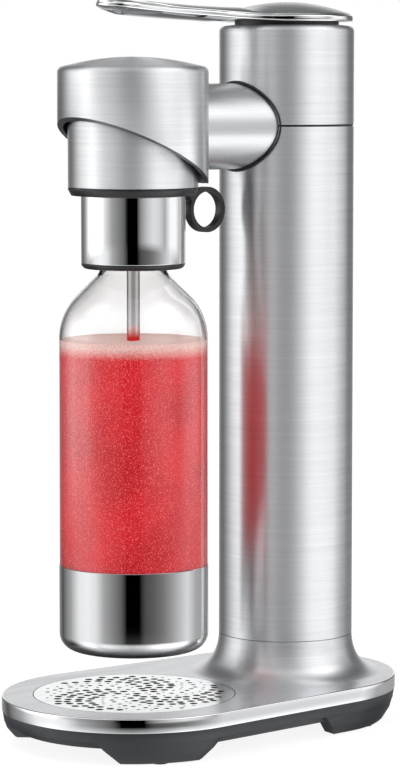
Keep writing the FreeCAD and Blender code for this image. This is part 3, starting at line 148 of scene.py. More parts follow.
def place_group(tree, group, inputs):
    """Adds a shared group to a material, and gives its outputs."""
    node = add(tree, "Group", node_tree=group)
    feed(tree, node, inputs)
    return node.outputs


def ramp(tree, factor, stops):
    """Colour ramp from (position, grey or colour) stops."""
    node = add(tree, "ValToRGB", {"Fac": factor})
    elements = node.color_ramp.elements
    while len(elements) < len(stops):
        elements.new(0.5)
    for element, (position, colour) in zip(elements, stops):
        element.position = position
        element.color = (*colour, 1) if isinstance(colour, tuple) else (colour, colour, colour, 1)
    return node.outputs["Color"]


def scaled(tree, value, low_end, high_end, from_low=0.0, from_high=1.0):
    """A value moved from one range to another."""
    node = add(tree, "MapRange", {"Value": value, "From Min": from_low, "From Max": from_high,
                                  "To Min": low_end, "To Max": high_end})
    return node.outputs["Result"]


def blended(tree, factor, first, second):
    """Mix of two colours."""
    node = tree.nodes.new("ShaderNodeMix")
    node.data_type = "RGBA"
    for socket, value in ((node.inputs[0], factor), (node.inputs[6], first), (node.inputs[7], second)):
        if isinstance(value, bpy.types.NodeSocket):
            tree.links.new(value, socket)
        elif isinstance(value, float):
            socket.default_value = value
        else:
            socket.default_value = (*value, 1)
    return node.outputs[2]


# ---- shared effects ----

def brushed_lines(tree, stretch):
    """Fine lines left by a brushing belt; the stretch is large across the lines and small along them."""
    def build(group, given):
        run = add(group, "VectorMath", {0: object_place(group)[0], 1: given["Stretch"]},
                  operation="MULTIPLY").outputs[0]
        fine = add(group, "TexNoise", {"Vector": run, "Scale": 1.0, "Detail": 3.0, "Roughness": 0.6})
        broad = add(group, "TexNoise", {"Vector": run, "Scale": 0.28, "Detail": 2.0})
        tone = blended(group, 0.45, fine.outputs["Fac"], broad.outputs["Fac"])
        return {"Tone": scaled(group, tone, 0.0, 1.0, 0.3, 0.7), "Height": fine.outputs["Fac"]}

    group = shared_group("brushed_lines", [("Stretch", "Vector", RINGS)], ["Tone", "Height"], build)
    return place_group(tree, group, {"Stretch": stretch})


def handling_marks(tree, size):
    """Faint uneven patches that polished and glossy surfaces pick up."""
    def build(group, given):
        patches = add(group, "TexNoise", {
            "Vector": object_place(group)[0], "Scale": math_node(group, "DIVIDE", 1.0, given["Size"]),
            "Detail": 4.0, "Roughness": 0.65, "Distortion": 0.4})
        return {"Amount": scaled(group, patches.outputs["Fac"], 0.0, 1.0, 0.42, 0.72)}

    group = shared_group("handling_marks", [("Size", "Float", 0.03)], ["Amount"], build)
    return place_group(tree, group, {"Size": size})["Amount"]


def moulded_grain(tree, size):
    """Fine stipple of moulded plastic or cast metal."""
    def build(group, given):
        place = object_place(group)[0]
        scale = math_node(group, "DIVIDE", 1.0, given["Size"])
        stipple = add(group, "TexNoise", {"Vector": place, "Scale": scale, "Detail": 2.0})
        cloud = add(group, "TexNoise", {"Vector": place, "Scale": 22.0, "Detail": 3.0})
        return {"Tone": scaled(group, cloud.outputs["Fac"], 0.0, 1.0, 0.3, 0.7),
                "Height": stipple.outputs["Fac"]}

    group = shared_group("moulded_grain", [("Size", "Float", 0.0006)], ["Tone", "Height"], build)
    return place_group(tree, group, {"Size": size})


# ---- finishes ----

# Stretches of brushing lines that run round an upright piece: small along them, large across them
RINGS = (30, 30, 1800)
SHORT_RINGS = (60, 60, 900)
SPREAD_BY_BRUSH = 0.92     # how far highlights on the ringed steel are drawn out across its lines
ACROSS = 0.25              # quarter turn, from along the map's first axis to across it


def shading(material):
    """A material's nodes, its main shader and what is linked to that shader's colour, if anything."""
    shader = material.node_tree.nodes["Principled BSDF"]
    links = shader.inputs["Base Color"].links
    return material.node_tree, shader, links[0].from_socket if links else None


def new_finish(name):
    """A new material, with its nodes and its main shader."""
    material = bpy.data.materials.new(name)
    material.use_nodes = True
    return material, *shading(material)[:2]


def brushed_finish(name, dark, light, stretch, roughness, anisotropy=0.0, depth=0.06):
    """Steel brushed in one direction."""
    material, tree, shader = new_finish(name)
    lines = brushed_lines(tree, stretch)
    bump = add(tree, "Bump", {"Height": lines["Height"], "Strength": depth, "Distance": 0.0004})
    rough = scaled(tree, lines["Tone"], roughness + 0.035, roughness - 0.035)
    feed(tree, shader, {
        "Base Color": blended(tree, lines["Tone"], dark, light), "Metallic": 1.0,
        "Roughness": math_node(tree, "MULTIPLY_ADD", handling_marks(tree, 0.05), 0.02, rough),
        "Normal": bump.outputs["Normal"]})
    if anisotropy:
        tangent = add(tree, "Tangent", direction_type="UV_MAP", uv_map="round")
        feed(tree, shader, {"Anisotropic": anisotropy, "Anisotropic Rotation": ACROSS,
                            "Tangent": tangent.outputs["Tangent"]})
    return material


def flare_finish(name, dark, light, deck_z, column_z):
    """Brushed steel whose lines pass from the deck's even satin into the column's rings; its colour passes
    from the deck's painted light into the column's own.
    """
    material = brushed_finish(name, dark, light, RINGS, 0.38, SPREAD_BY_BRUSH, 0.02)
    tree, shader, plain = shading(material)
    rise = scaled(tree, object_place(tree)[1], 0.0, 1.0, deck_z, column_z)
    # Lighter copy of the steel's colour at the deck's end: painted light, as on the deck
    feed(tree, shader, {
        "Anisotropic": scaled(tree, rise, 0.0, SPREAD_BY_BRUSH), "Roughness": scaled(tree, rise, 0.32, 0.42),
        "Base Color": blended(tree, rise, toned(light, 1.16), plain)})
    return material


def polished_finish(name, colour, roughness):
    """Mirror-polished steel with faint handling marks."""
    material, tree, shader = new_finish(name)
    marks = handling_marks(tree, 0.02)
    feed(tree, shader, {"Base Color": blended(tree, marks, colour, toned(colour, 0.97)), "Metallic": 1.0,
                        "Roughness": scaled(tree, marks, roughness, roughness + 0.03)})
    return material


def cup_finish(name, colour, turn_z, foot_z):
    """Polished steel that dulls where the cup turns under, where painted shade also darkens its colour."""
    material = polished_finish(name, colour, 0.03)
    tree, shader, plain = shading(material)
    under = scaled(tree, object_place(tree)[1], 0.0, 1.0, turn_z, foot_z)
    # Painted shade: the colour darkens towards the cup's underside
    feed(tree, shader, {"Base Color": blended(tree, under, plain, toned(colour, 0.3)),
                        "Roughness": scaled(tree, under, 0.04, 0.35)})
    return material


def moulded_finish(name, colour, roughness, grain=0.0006, depth=0.12, metallic=0.0):
    """Plastic, rubber, paint or cast metal with a stippled surface."""
    material, tree, shader = new_finish(name)
    texture = moulded_grain(tree, grain)
    bump = add(tree, "Bump", {"Height": texture["Height"], "Strength": depth, "Distance": 0.0002})
    feed(tree, shader, {
        "Base Color": blended(tree, texture["Tone"], toned(colour, 0.75), colour), "Metallic": metallic,
        "Roughness": scaled(tree, handling_marks(tree, 0.015), roughness, roughness + 0.08),
        "Normal": bump.outputs["Normal"]})
    return material


def clear_finish(name):
    """Clear bottle plastic, with painted shade darkening it where it is seen edge-on."""
    material, tree, shader = new_finish(name)
    facing = add(tree, "LayerWeight", {"Blend": 0.5}).outputs["Facing"]
    # Painted shade: the tint darkens towards the edges seen edge-on
    edge = ramp(tree, facing, ((0.0, (0.985, 0.99, 0.99)), (0.68, (0.97, 0.975, 0.98)),
                               (0.86, (0.6, 0.61, 0.63)), (1.0, (0.22, 0.23, 0.25))))
    feed(tree, shader, {
        "Base Color": edge, "Roughness": scaled(tree, handling_marks(tree, 0.03), 0.0, 0.03),
        "Transmission Weight": 1.0, "IOR": 1.5, "Coat Weight": 0.6, "Specular IOR Level": 0.9})
    return material


def tube_finish(name, colour, end_z, reflection_top_z):
    """Drawn tube in painted reflection: pale middle, dark sides, red above the drink; the colour glows as
    painted light.
    """
    material, tree, shader = new_finish(name)
    facing = add(tree, "LayerWeight", {"Blend": 0.5}).outputs["Facing"]
    lines = brushed_lines(tree, (900, 900, 20))
    # Painted reflection: bands by how squarely the tube faces the view
    band = ramp(tree, facing, ((0.0, 0.42), (0.05, 0.5), (0.09, 0.95), (0.3, 0.8), (0.42, 0.3), (0.6, 0.12),
                               (0.8, 0.2), (1.0, 0.1)))
    # Painted reflection of the red drink, strongest just above its surface
    drink_reflection = scaled(tree, object_place(tree)[1], 0.0, 1.0, reflection_top_z, end_z)
    tone = blended(tree, scaled(tree, lines["Tone"], 0.0, 0.25), band, (0.3, 0.31, 0.33))
    tone = blended(tree, drink_reflection, tone, colour)
    # The painted colour glows, as painted light
    feed(tree, shader, {"Base Color": tone, "Emission Color": tone, "Emission Strength": 0.42,
                        "Metallic": 1.0, "Roughness": 0.15})
    return material


def drink_finish(name, colours, surface_z, foam_depth):
    """Cloudy fizzy drink: rising bubbles as pale specks, and foam that thins out downwards; its colour glows,
    as painted light.
    """
    material, tree, shader = new_finish(name)
    place, height = object_place(tree)
    specks = add(tree, "TexVoronoi", {"Vector": place, "Scale": 900.0, "Randomness": 1.0}).outputs["Distance"]
    dust = add(tree, "TexNoise", {"Vector": place, "Scale": 1400.0, "Detail": 2.0}).outputs["Fac"]
    swirl = add(tree, "TexNoise", {"Vector": place, "Scale": 30.0, "Detail": 3.0}).outputs["Fac"]
    body = blended(tree, scaled(tree, swirl, 0.0, 1.0, 0.35, 0.65), colours["deep"], colours["body"])
    body = blended(tree, scaled(tree, dust, 0.0, 1.0, 0.52, 0.7), body, colours["speck"])
    ragged = math_node(tree, "MULTIPLY_ADD", swirl, 0.004, height)
    ragged = math_node(tree, "MULTIPLY_ADD", specks, 0.002, ragged)
    top = surface_z + 0.0028
    foam = scaled(tree, ragged, 0.0, 1.0, top - foam_depth, top - 0.25 * foam_depth)
    froth = blended(tree, scaled(tree, specks, 1.0, 0.0, 0.1, 0.42), colours["foam"], colours["froth"])
    colour = blended(tree, foam, body, froth)
    # The drink's colour glows: painted light
    feed(tree, shader, {
        "Base Color": colour, "Roughness": 0.6, "Specular IOR Level": 0.0,
        "Emission Color": colour, "Emission Strength": 0.36,
        "Subsurface Weight": 0.2, "Subsurface Radius": (1.0, 0.25, 0.2), "Subsurface Scale": 0.004})
    return material


def finish(title):
    """The material of that name, made when it is first asked for."""
    name = title.replace(" ", "_") + "_finish"
    found = bpy.data.materials.get(name)
    if found:
        return found
    look = bpy.context.scene.carbonator_finish
    steel = tuple(look.steel)
    shade = toned(steel, 0.86)
    polish = tuple(look.polish)
    surface = high("drink").z
    cup_foot = low("bottle_cup").z
    drink = {"body": tuple(look.drink), "deep": toned(look.drink, 0.8), "speck": (0.92, 0.2, 0.19),
             "foam": tuple(look.foam), "froth": (0.78, 0.3, 0.28)}
    makers = {
        "steel round": (brushed_finish, shade, steel, RINGS, 0.38, SPREAD_BY_BRUSH, 0.02),
        "steel flare": (flare_finish, shade, steel, DECK_Z + 0.1 * MM, DECK_Z + 9 * MM),
        # The deck's steel is a lighter copy of the column's: painted light on its top face
        "steel deck": (brushed_finish, toned(steel, 1.1), toned(steel, 1.22), (900, 60, 60), 0.32, 0.0, 0.03),
        "steel grille": (brushed_finish, (0.9, 0.91, 0.92), (0.97, 0.98, 0.99), (700, 60, 60), 0.2, 0.0,
                         0.02),
        # The arm's steel is a darker copy of the column's: painted shade
        "steel arm": (brushed_finish, toned(steel, 0.72), toned(steel, 0.82), (60, 12, 900), 0.34, 0.0, 0.03),
        "steel lever": (brushed_finish, shade, steel, (900, 25, 60), 0.26, 0.0, 0.04),
        # Near-black steel for the head cover's lip: painted shade on its downward and inner faces
        "steel edge": (brushed_finish, (0.11, 0.115, 0.125), (0.16, 0.165, 0.175), SHORT_RINGS, 0.35),
        "polished steel": (polished_finish, polish, 0.02),
        "cup steel": (cup_finish, toned(polish, 0.93), cup_foot + 9 * MM, cup_foot + 2.5 * MM),
        "dark plastic": (moulded_finish, tuple(look.dark_plastic), 0.42),
        "black plastic": (moulded_finish, tuple(look.black_plastic), 0.38),
        "inner plastic": (moulded_finish, (0.13, 0.13, 0.14), 0.5),
        "rubber": (moulded_finish, (0.018, 0.018, 0.02), 0.55),
        "cast metal": (moulded_finish, (0.6, 0.6, 0.62), 0.45, 0.0012, 0.2, 1.0),
        "ballast iron": (moulded_finish, (0.05, 0.05, 0.055), 0.6, 0.002, 0.3),
        "brass": (brushed_finish, (0.6, 0.43, 0.2), (0.74, 0.56, 0.3), SHORT_RINGS, 0.28),
        "cylinder paint": (moulded_finish, (0.5, 0.52, 0.55), 0.25, 0.001, 0.05),
        "fastener steel": (brushed_finish, (0.42, 0.42, 0.44), (0.55, 0.55, 0.57), (500, 500, 500), 0.35),
        "clear plastic": (clear_finish,),
        "tube steel": (tube_finish, (0.5, 0.03, 0.03), surface + 1 * MM, surface + 9 * MM),
        "drink": (drink_finish, drink, surface, bpy.context.scene.carbonator_sizes.foam_depth),
    }
    make, *values = makers[title]
    return make(name, *values)


# ---- mesh helpers ----

def rounded(corners, steps=5):
    """Outline with rounded corners; a corner is (radius, height) or (radius, height, rounding)."""
    points = []
    for n, corner in enumerate(corners):
        here = Vector(corner[:2])
        size = corner[2] if len(corner) > 2 else 0.0
        if size == 0:
            points.append(here)
            continue
        back = Vector(corners[n - 1][:2]) - here
        ahead = Vector(corners[(n + 1) % len(corners)][:2]) - here
        half = back.angle(ahead) / 2
        cut = min(size / math.tan(half), 0.49 * back.length, 0.49 * ahead.length)
        bulge = cut * math.tan(half)
        centre = here + (back.normalized() + ahead.normalized()).normalized() * (bulge / math.sin(half))
        start = here + back.normalized() * cut - centre
        stop = here + ahead.normalized() * cut - centre
        sweep = start.angle_signed(stop)
        for k in range(steps + 1):
            points.append(centre + Matrix.Rotation(-sweep * k / steps, 2) @ start)
    return [tuple(p) for p in points]


def arc(centre_r, centre_z, radius, start, stop, steps=12):
    """Points on an arc, by angles in degrees from the outward radius."""
    turns = [math.radians(start + (stop - start) * k / steps) for k in range(steps + 1)]
    return [(centre_r + radius * math.cos(t), centre_z + radius * math.sin(t)) for t in turns]


def sleeve_outline(node, radius, wall, low_round=0.0, high_round=0.0):
    """Outline of a straight sleeve as high as a CAD node, with its outer edges rounded."""
    bottom, top = low(node).z, high(node).z
    return rounded([(radius - wall, bottom), (radius, bottom, low_round), (radius, top, high_round),
                    (radius - wall, top)])


def new_piece(name, mesh, material, body, replaced):
    """Shows a mesh as a piece that rides on a body and stands for CAD nodes."""
    piece = bpy.data.objects.new(name, mesh)
    bpy.context.scene.collection.objects.link(piece)
    mesh.materials.append(finish(material))
    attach(piece, body)
    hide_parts(*replaced)
    return piece


def smooth(mesh, angle=32):
    """Shades a mesh smoothly, but for edges sharper than an angle in degrees."""
    mesh.shade_smooth()
    mesh.set_sharp_from_angle(angle=math.radians(angle))


def mesh_of(name, shape):
    """Joins a shape's doubled points, turns its faces outwards and shades it."""
    bmesh.ops.remove_doubles(shape, verts=shape.verts, dist=1e-6)
    bmesh.ops.recalc_face_normals(shape, faces=shape.faces)
    mesh = bpy.data.meshes.new(name)
    shape.to_mesh(mesh)
    shape.free()
    smooth(mesh)
    return mesh


def swept_mesh(name, rows, around=True, along=True, caps=False):
    """Skin over rows of points, each row closed when around is set, and the last joined to the first.

    The rows run round the piece, so the map's first axis follows them and gives a brushing direction.
    """
    shape = bmesh.new()
    layer = shape.loops.layers.uv.new("round")
    grid = [[shape.verts.new(p) for p in row] for row in rows]
    count = len(rows[0])
    steps = len(rows) if along else len(rows) - 1
    turns = count if around else count - 1
    for j in range(steps):
        for k in range(turns):
            here, ahead = grid[j], grid[(j + 1) % len(grid)]
            face = shape.faces.new((here[k], ahead[k], ahead[(k + 1) % count], here[(k + 1) % count]))
            for loop, (du, dv) in zip(face.loops, ((0, 0), (1, 0), (1, 1), (0, 1))):
                loop[layer].uv = ((j + du) / steps, (k + dv) / turns)
    if caps:
        shape.faces.new(grid[0])
        shape.faces.new(list(reversed(grid[-1])))
    return mesh_of(name, shape)


def turned_mesh(name, outline, y, start=0.0, stop=360.0, steps=RIPPLE_FREE):
    """Closed outline of (radius, height) points turned about the vertical axis at y.

    Angles are in degrees from the front towards +X. The outline may be a function of the angle.
    """
    whole = abs(stop - start) >= 360
    rows = []
    for n in range(steps if whole else steps + 1):
        a = math.radians(start + (stop - start) * n / steps)
        points = outline(a) if callable(outline) else outline
        rows.append([(r * math.sin(a), y - r * math.cos(a), z) for r, z in points])
    return swept_mesh(name, rows, along=whole, caps=not whole)


def turned_piece(name, node, outline, y, material, body, slot, *turn):
    """A turned mesh shown in place of a CAD node."""
    return new_piece(name, turned_mesh(name, outline, y, *turn), material, body, [node])


def paint(piece, material, test):
    """Gives another finish to the faces whose centre and normal pass a test."""
    mesh = piece.data
    mesh.materials.append(finish(material))
    last = len(mesh.materials) - 1
    for face in mesh.polygons:
        if test(face.center, face.normal):
            face.material_index = last


SHARP = math.radians(35)
FLAT = math.radians(1)


def softened_mesh(node, width, segments=2):
    """Copy of a CAD node's mesh with its sharp edges rounded."""
    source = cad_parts[node]
    mesh = source.data.copy()
    mesh.materials.clear()
    shape = bmesh.new()
    shape.from_mesh(mesh)
    bmesh.ops.remove_doubles(shape, verts=shape.verts, dist=2e-6)
    bmesh.ops.dissolve_limit(shape, angle_limit=FLAT, verts=shape.verts, edges=shape.edges)
    sharp = [e for e in shape.edges if len(e.link_faces) == 2 and e.calc_face_angle(0) > SHARP]
    bmesh.ops.bevel(shape, geom=sharp, offset=width, segments=segments, profile=0.5, affect="EDGES",
                    clamp_overlap=True, harden_normals=False)
    if "custom_normal" in mesh.attributes:
        mesh.attributes.remove(mesh.attributes["custom_normal"])
    shape.to_mesh(mesh)
    shape.free()
    smooth(mesh, 40)
    return mesh


def dress(material, slot_nodes):
    """Gives a finish to CAD nodes whose shape is shown as it is."""
    for node in slot_nodes:
        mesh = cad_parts[node].data
        mesh.materials.clear()
        mesh.materials.append(finish(material))


def circle(radius, y, count):
    """Points (x, y) on a circle about a point of the middle line, from its front."""
    turns = [FULL_TURN * k / count for k in range(count)]
    return [(radius * math.sin(a), y - radius * math.cos(a)) for a in turns]


def base_outline(inset, arc_steps=72):
    """Outline of the base set in from its edge, as (x, y) points: two arcs and their tangents."""
    front = BOTTLE_Y - low("trim_band").y - inset
    back = high("trim_band").y - BACK_Y - inset
    lean = math.asin((front - back) / (BACK_Y - BOTTLE_Y))
    points = []
    for radius, y, start, sweep in ((front, BOTTLE_Y, -math.pi / 2 - lean, math.pi + 2 * lean),
                                    (back, BACK_Y, math.pi / 2 + lean, math.pi - 2 * lean)):
        for k in range(arc_steps + 1):
            a = start + sweep * k / arc_steps
            points.append((radius * math.sin(a), y - radius * math.cos(a)))
    return points


def base_ring_mesh(name, outline):
    """Closed outline of (inset, height) points led round the base."""
    levels = [base_outline(inset) for inset, _ in outline]
    rows = [[(*spot, z) for spot, (_, z) in zip(spots, outline)] for spots in zip(*levels)]
    return swept_mesh(name, rows)


# ---- settings ----

def size_setting(name, description, default):
    return FloatProperty(name=name, description=description, default=default, unit="LENGTH", precision=4)


def colour_setting(name, what, default):
    return FloatVectorProperty(name=name, description="Colour of " + what, default=default,
                               subtype="COLOR", size=3)


class CarbonatorSizes(bpy.types.PropertyGroup):
    """Sizes that set how fine details look."""

    foam_depth: size_setting("Foam depth", "Depth of the foam on the drink", 0.0085)
    inlay_inset: size_setting("Inlay inset", "Polished edge left round the lever's top", 0.0012)


class CarbonatorFinish(bpy.types.PropertyGroup):
    """Colours of the finishes."""

    steel: colour_setting("Brushed steel", "brushed steel", (0.76, 0.77, 0.785))
    polish: colour_setting("Polished steel", "polished steel", (0.74, 0.745, 0.755))
    dark_plastic: colour_setting("Underbody", "the dark underbody", (0.036, 0.041, 0.05))
    black_plastic: colour_setting("Cap", "the black plastic", (0.014, 0.015, 0.018))
    drink: colour_setting("Drink", "the drink", (0.74, 0.026, 0.04))
    foam: colour_setting("Foam", "the foam on the drink", (0.88, 0.62, 0.56))
    backdrop: colour_setting("Backdrop", "floor and backdrop", (1.0, 1.0, 1.0))


# ---- stage ----

VIEW_TURN = math.radians(49.769)     # how far the camera stands round from the front, towards +X
VIEW_DROP = math.radians(5.536)      # how far it looks down
EYE_HEIGHT = 0.38585
EYE_DISTANCE = 1.91353               # from the column's axis
EYE_ASIDE = -0.05146                 # how far to the right of that axis the camera stands
LENS = 149.85
FLOOR_REACH = 15
FLOOR_GLOW = 0.89                    # with the light on its grey, this comes to the backdrop's white
FLOOR_GREY = 0.2
LAMP_AIM = Vector((0, 0, 0.2))

# Brightness round the object at eye level, by angle in degrees from the camera's side of it
LEVEL_RING = ((-180, 1.1), (-166, 0.9), (-156, 0.2), (-141, 0.2), (-128, 0.45), (-118, 1.1), (-105, 2.0),
              (-74, 2.0), (-67, 1.2), (-60, 0.88), (-46, 0.45), (-32, 0.3), (-19, 0.17), (-13, 0.02),
              (-10, 0.0), (10, 0.0), (13, 0.16), (19, 0.38), (32, 0.72), (46, 0.98), (60, 0.9), (75, 0.54),
              (84, 0.95), (92, 1.3), (108, 1.3), (120, 0.8), (130, 0.2), (156, 0.18), (166, 0.9), (180, 1.1))
# A little below eye level, where the right-hand soft box ends
LOW_RING = ((-180, 0.8), (-160, 0.3), (-141, 0.1), (-113, 0.5), (-92, 1.15), (-75, 1.25), (-60, 1.09),
            (-46, 0.54), (-32, 0.33), (-19, 0.17), (-10, 0.0), (10, 0.0), (19, 0.1), (32, 0.15), (46, 0.24),
            (60, 0.42), (75, 0.69), (92, 1.0), (113, 0.54), (141, 0.45), (160, 0.4), (180, 0.8))
# Well above and below eye level
FAR_RING = ((-180, 0.2), (-150, 0.1), (-141, 0.1), (-116, 0.04), (-106, 0.4), (-92, 1.4), (-75, 2.1),
            (-60, 1.3), (-46, 1.5), (-32, 1.25), (-19, 1.0), (0, 0.85), (19, 1.12), (32, 1.6), (46, 2.3),
            (60, 2.2), (75, 2.4), (92, 2.3), (103, 0.8), (114, 0.04), (141, 0.05), (150, 0.1), (180, 0.2))
RING_PEAK = 2.5            # brightness that a ramp's white stands for
SKY = 0.5
GROUND = 1.0


def ring_colour(tree, factor, ring):
    return ramp(tree, factor, [(angle / 360 + 0.5, level / RING_PEAK) for angle, level in ring])


def seen_plainly(tree):
    """1 where the camera sees straight, or through the bottle, and 0 in reflections and for lighting."""
    path = add(tree, "LightPath").outputs
    unreflected = math_node(tree, "LESS_THAN", path["Glossy Depth"], 0.5)
    through = math_node(tree, "MULTIPLY", path["Is Transmission Ray"], unreflected)
    return math_node(tree, "MAXIMUM", path["Is Camera Ray"], through)


def light_the_world(backdrop):
    """White to the camera and through the bottle; a ring of soft boxes and dark flags to the rest."""
    world = bpy.data.worlds.new("studio")
    bpy.context.scene.world = world
    world.use_nodes = True
    tree = world.node_tree
    tree.nodes.clear()
    heading = add(tree, "VectorRotate", {"Vector": add(tree, "TexCoord").outputs["Generated"],
                                         "Angle": math.pi / 2 - VIEW_TURN}, rotation_type="Z_AXIS")
    parts = add(tree, "SeparateXYZ", {"Vector": heading.outputs[0]}).outputs
    z = parts["Z"]
    factor = scaled(tree, math_node(tree, "ARCTAN2", parts["Y"], parts["X"]), 0.0, 1.0, -math.pi, math.pi)
    colour = ring_colour(tree, factor, LEVEL_RING)
    # Each layer takes over between two heights, by the upright part of the direction looked in
    for height, start, stop, layer in (
            (z, -0.1, -0.145, ring_colour(tree, factor, LOW_RING)),
            (math_node(tree, "ABSOLUTE", z), 0.22, 0.46, ring_colour(tree, factor, FAR_RING)),
            (z, 0.75, 0.95, (SKY / RING_PEAK,) * 3), (z, -0.65, -0.9, (GROUND / RING_PEAK,) * 3)):
        colour = blended(tree, scaled(tree, height, 0.0, 1.0, start, stop), colour, layer)
    studio = add(tree, "Background", {"Color": colour, "Strength": RING_PEAK})
    white = add(tree, "Background", {"Color": backdrop, "Strength": 1.0})
    mix = add(tree, "MixShader", {0: seen_plainly(tree), 1: studio.outputs[0], 2: white.outputs[0]})
    add(tree, "OutputWorld", {"Surface": mix.outputs[0]})


def floor_finish(backdrop):
    """Pale floor that keeps the shadow and otherwise shows as the backdrop."""
    material, tree, _ = new_finish("floor")
    tree.nodes.clear()
    glow = add(tree, "Emission", {"Color": backdrop,
                                  "Strength": math_node(tree, "MULTIPLY", seen_plainly(tree), FLOOR_GLOW)})
    paper = add(tree, "BsdfDiffuse", {"Color": (FLOOR_GREY, FLOOR_GREY, FLOOR_GREY, 1)})
    both = add(tree, "AddShader", {0: glow.outputs[0], 1: paper.outputs[0]})
    add(tree, "OutputMaterial", {"Surface": both.outputs[0]})
    return material


class BuildStage(bpy.types.Operator):
    """Make the floor, the backdrop, the lamp and the camera."""

    bl_idname = "carbonator.build_stage"
    bl_label = "Stage"

    def execute(self, context):
        scene = context.scene
        scene.view_settings.view_transform = "Standard"
        backdrop = (*scene.carbonator_finish.backdrop, 1)
        light_the_world(backdrop)
        self.lay_floor(scene, backdrop)
        self.hang_lamp(scene)
        self.place_camera(scene)
        return {"FINISHED"}

    def lay_floor(self, scene, backdrop):
        mesh = bpy.data.meshes.new("floor")
        corners = ((-1, -1), (1, -1), (1, 1), (-1, 1))
        mesh.from_pydata([(x * FLOOR_REACH, y * FLOOR_REACH, 0) for x, y in corners], [], [(0, 1, 2, 3)])
        floor = bpy.data.objects.new("floor", mesh)
        scene.collection.objects.link(floor)
        mesh.materials.append(floor_finish(backdrop))
        floor.visible_glossy = False

    def hang_lamp(self, scene):
        lamp = bpy.data.lights.new("overhead", "AREA")
        lamp.shape = "RECTANGLE"
        lamp.size = 1.4
        lamp.size_y = 1.0
        lamp.energy = 14
        overhead = bpy.data.objects.new("overhead", lamp)
        scene.collection.objects.link(overhead)
        overhead.location = (-0.35, -0.5, 1.9)
        overhead.rotation_euler = (LAMP_AIM - overhead.location).to_track_quat("-Z", "Y").to_euler()
        overhead.visible_glossy = False
        overhead.visible_transmission = False

    def place_camera(self, scene):
        camera = bpy.data.cameras.new("camera")
        camera.lens = LENS
        camera.sensor_width = 36
        camera.clip_start = 0.05
        camera.clip_end = 60
        eye = bpy.data.objects.new("camera", camera)
        scene.collection.objects.link(eye)
        across = Vector((math.cos(VIEW_TURN), math.sin(VIEW_TURN), 0))
        outward = Vector((math.sin(VIEW_TURN), -math.cos(VIEW_TURN), 0))
        eye.location = Vector((0, COLUMN_Y, EYE_HEIGHT)) + EYE_ASIDE * across + EYE_DISTANCE * outward
        eye.rotation_euler = (math.pi / 2 - VIEW_DROP, 0, VIEW_TURN)
        scene.camera = eye


# ---- base ----

DECK_SHEET = 1.4 * MM
DECK_INSET = 1.35 * MM
FLARE_R = 58.0 * MM
FLARE_STEPS = 24
BAND_LIP = 1.3 * MM        # depth of the band's upper edge
BAND_DEPTH = 3.4 * MM
DECK_MAP = 5               # map units per metre


class BuildBase(bpy.types.Operator):
    """Make the steel deck with its flare, the polished band and the dark underbody."""

    bl_idname = "carbonator.build_base"
    bl_label = "Base"

    def execute(self, context):
        self.make_deck()
        self.make_flare()
        band = base_ring_mesh("base_band", rounded([
            (0.0, BAND_BOTTOM, 0.4 * MM), (0.0, DECK_Z, 0.7 * MM), (BAND_LIP, DECK_Z, 0.15 * MM),
            (BAND_LIP, DECK_Z - 1.3 * MM), (BAND_DEPTH, DECK_Z - 1.5 * MM), (BAND_DEPTH, BAND_BOTTOM)]))
        new_piece("base_band", band, "polished steel", "stand", ["trim_band"])
        body = softened_mesh("base_skirt", 0.5 * MM)
        new_piece("underbody", body, "dark plastic", "stand", ["base_skirt"])
        dress("rubber", ["foot_pads"])
        dress("ballast iron", ["ballast_plate"])
        dress("fastener steel", ["base_screws"])
        return {"FINISHED"}

    def make_deck(self):
        """Flat sheet with the opening of the tray and the foot of the flare cut out."""
        shape = bmesh.new()
        layer = shape.loops.layers.uv.new("round")
        tray = circle(high("drip_grille").x + 0.5 * MM, BOTTLE_Y, 120)
        foot = circle(FLARE_R, COLUMN_Y, RIPPLE_FREE)
        loops = []
        for z in (DECK_Z, DECK_Z - DECK_SHEET):
            edges = []
            for outline in (base_outline(DECK_INSET), tray, foot):
                verts = [shape.verts.new((x, y, z)) for x, y in outline]
                edges += [shape.edges.new((v, verts[(n + 1) % len(verts)])) for n, v in enumerate(verts)]
                loops.append(verts)
            bmesh.ops.triangle_fill(shape, edges=edges, use_beauty=True)
        for upper, lower in zip(loops[:3], loops[3:]):
            for n in range(len(upper)):
                m = (n + 1) % len(upper)
                shape.faces.new((upper[n], upper[m], lower[m], lower[n]))
        for face in shape.faces:
            for loop in face.loops:
                loop[layer].uv = (loop.vert.co.x * DECK_MAP, loop.vert.co.y * DECK_MAP)
        new_piece("deck", mesh_of("deck", shape), "steel deck", "stand", ["base_plate"])

    def make_flare(self):
        """Sheet that rises from the deck into the column."""
        top_z = high("base_plate").z
        run = FLARE_R - COLUMN_R
        rise = top_z - DECK_Z
        turns = [math.pi / 2 * k / FLARE_STEPS for k in range(FLARE_STEPS + 1)]
        outline = [(FLARE_R - run * math.cos(a), top_z - rise * math.sin(a)) for a in turns]
        outline += [(FLARE_R - (run + DECK_SHEET) * math.cos(a), top_z - (rise + DECK_SHEET) * math.sin(a))
                    for a in reversed(turns)]
        turned_piece("flare", "base_plate", outline, COLUMN_Y, "steel flare", "stand", "satin_deck")


class BuildTray(bpy.types.Operator):
    """Finish the drip tray and its perforated grille."""

    bl_idname = "carbonator.build_tray"
    bl_label = "Drip tray"

    def execute(self, context):
        dress("black plastic", ["drip_tray"])
        dress("steel grille", ["drip_grille"])
        return {"FINISHED"}


# ---- column ----

COLUMN_WALL = 1.5 * MM
COLUMN_ROUND = 0.25 * MM
SEAM = 128.0               # degrees from the front to the rear cover's seams
SEAM_GAP = 0.5
MOUTH_R = 32.2 * MM        # opening in the top of the housing
SHOULDER_DROP = 1.0 * MM   # from the mouth to the housing's outer edge


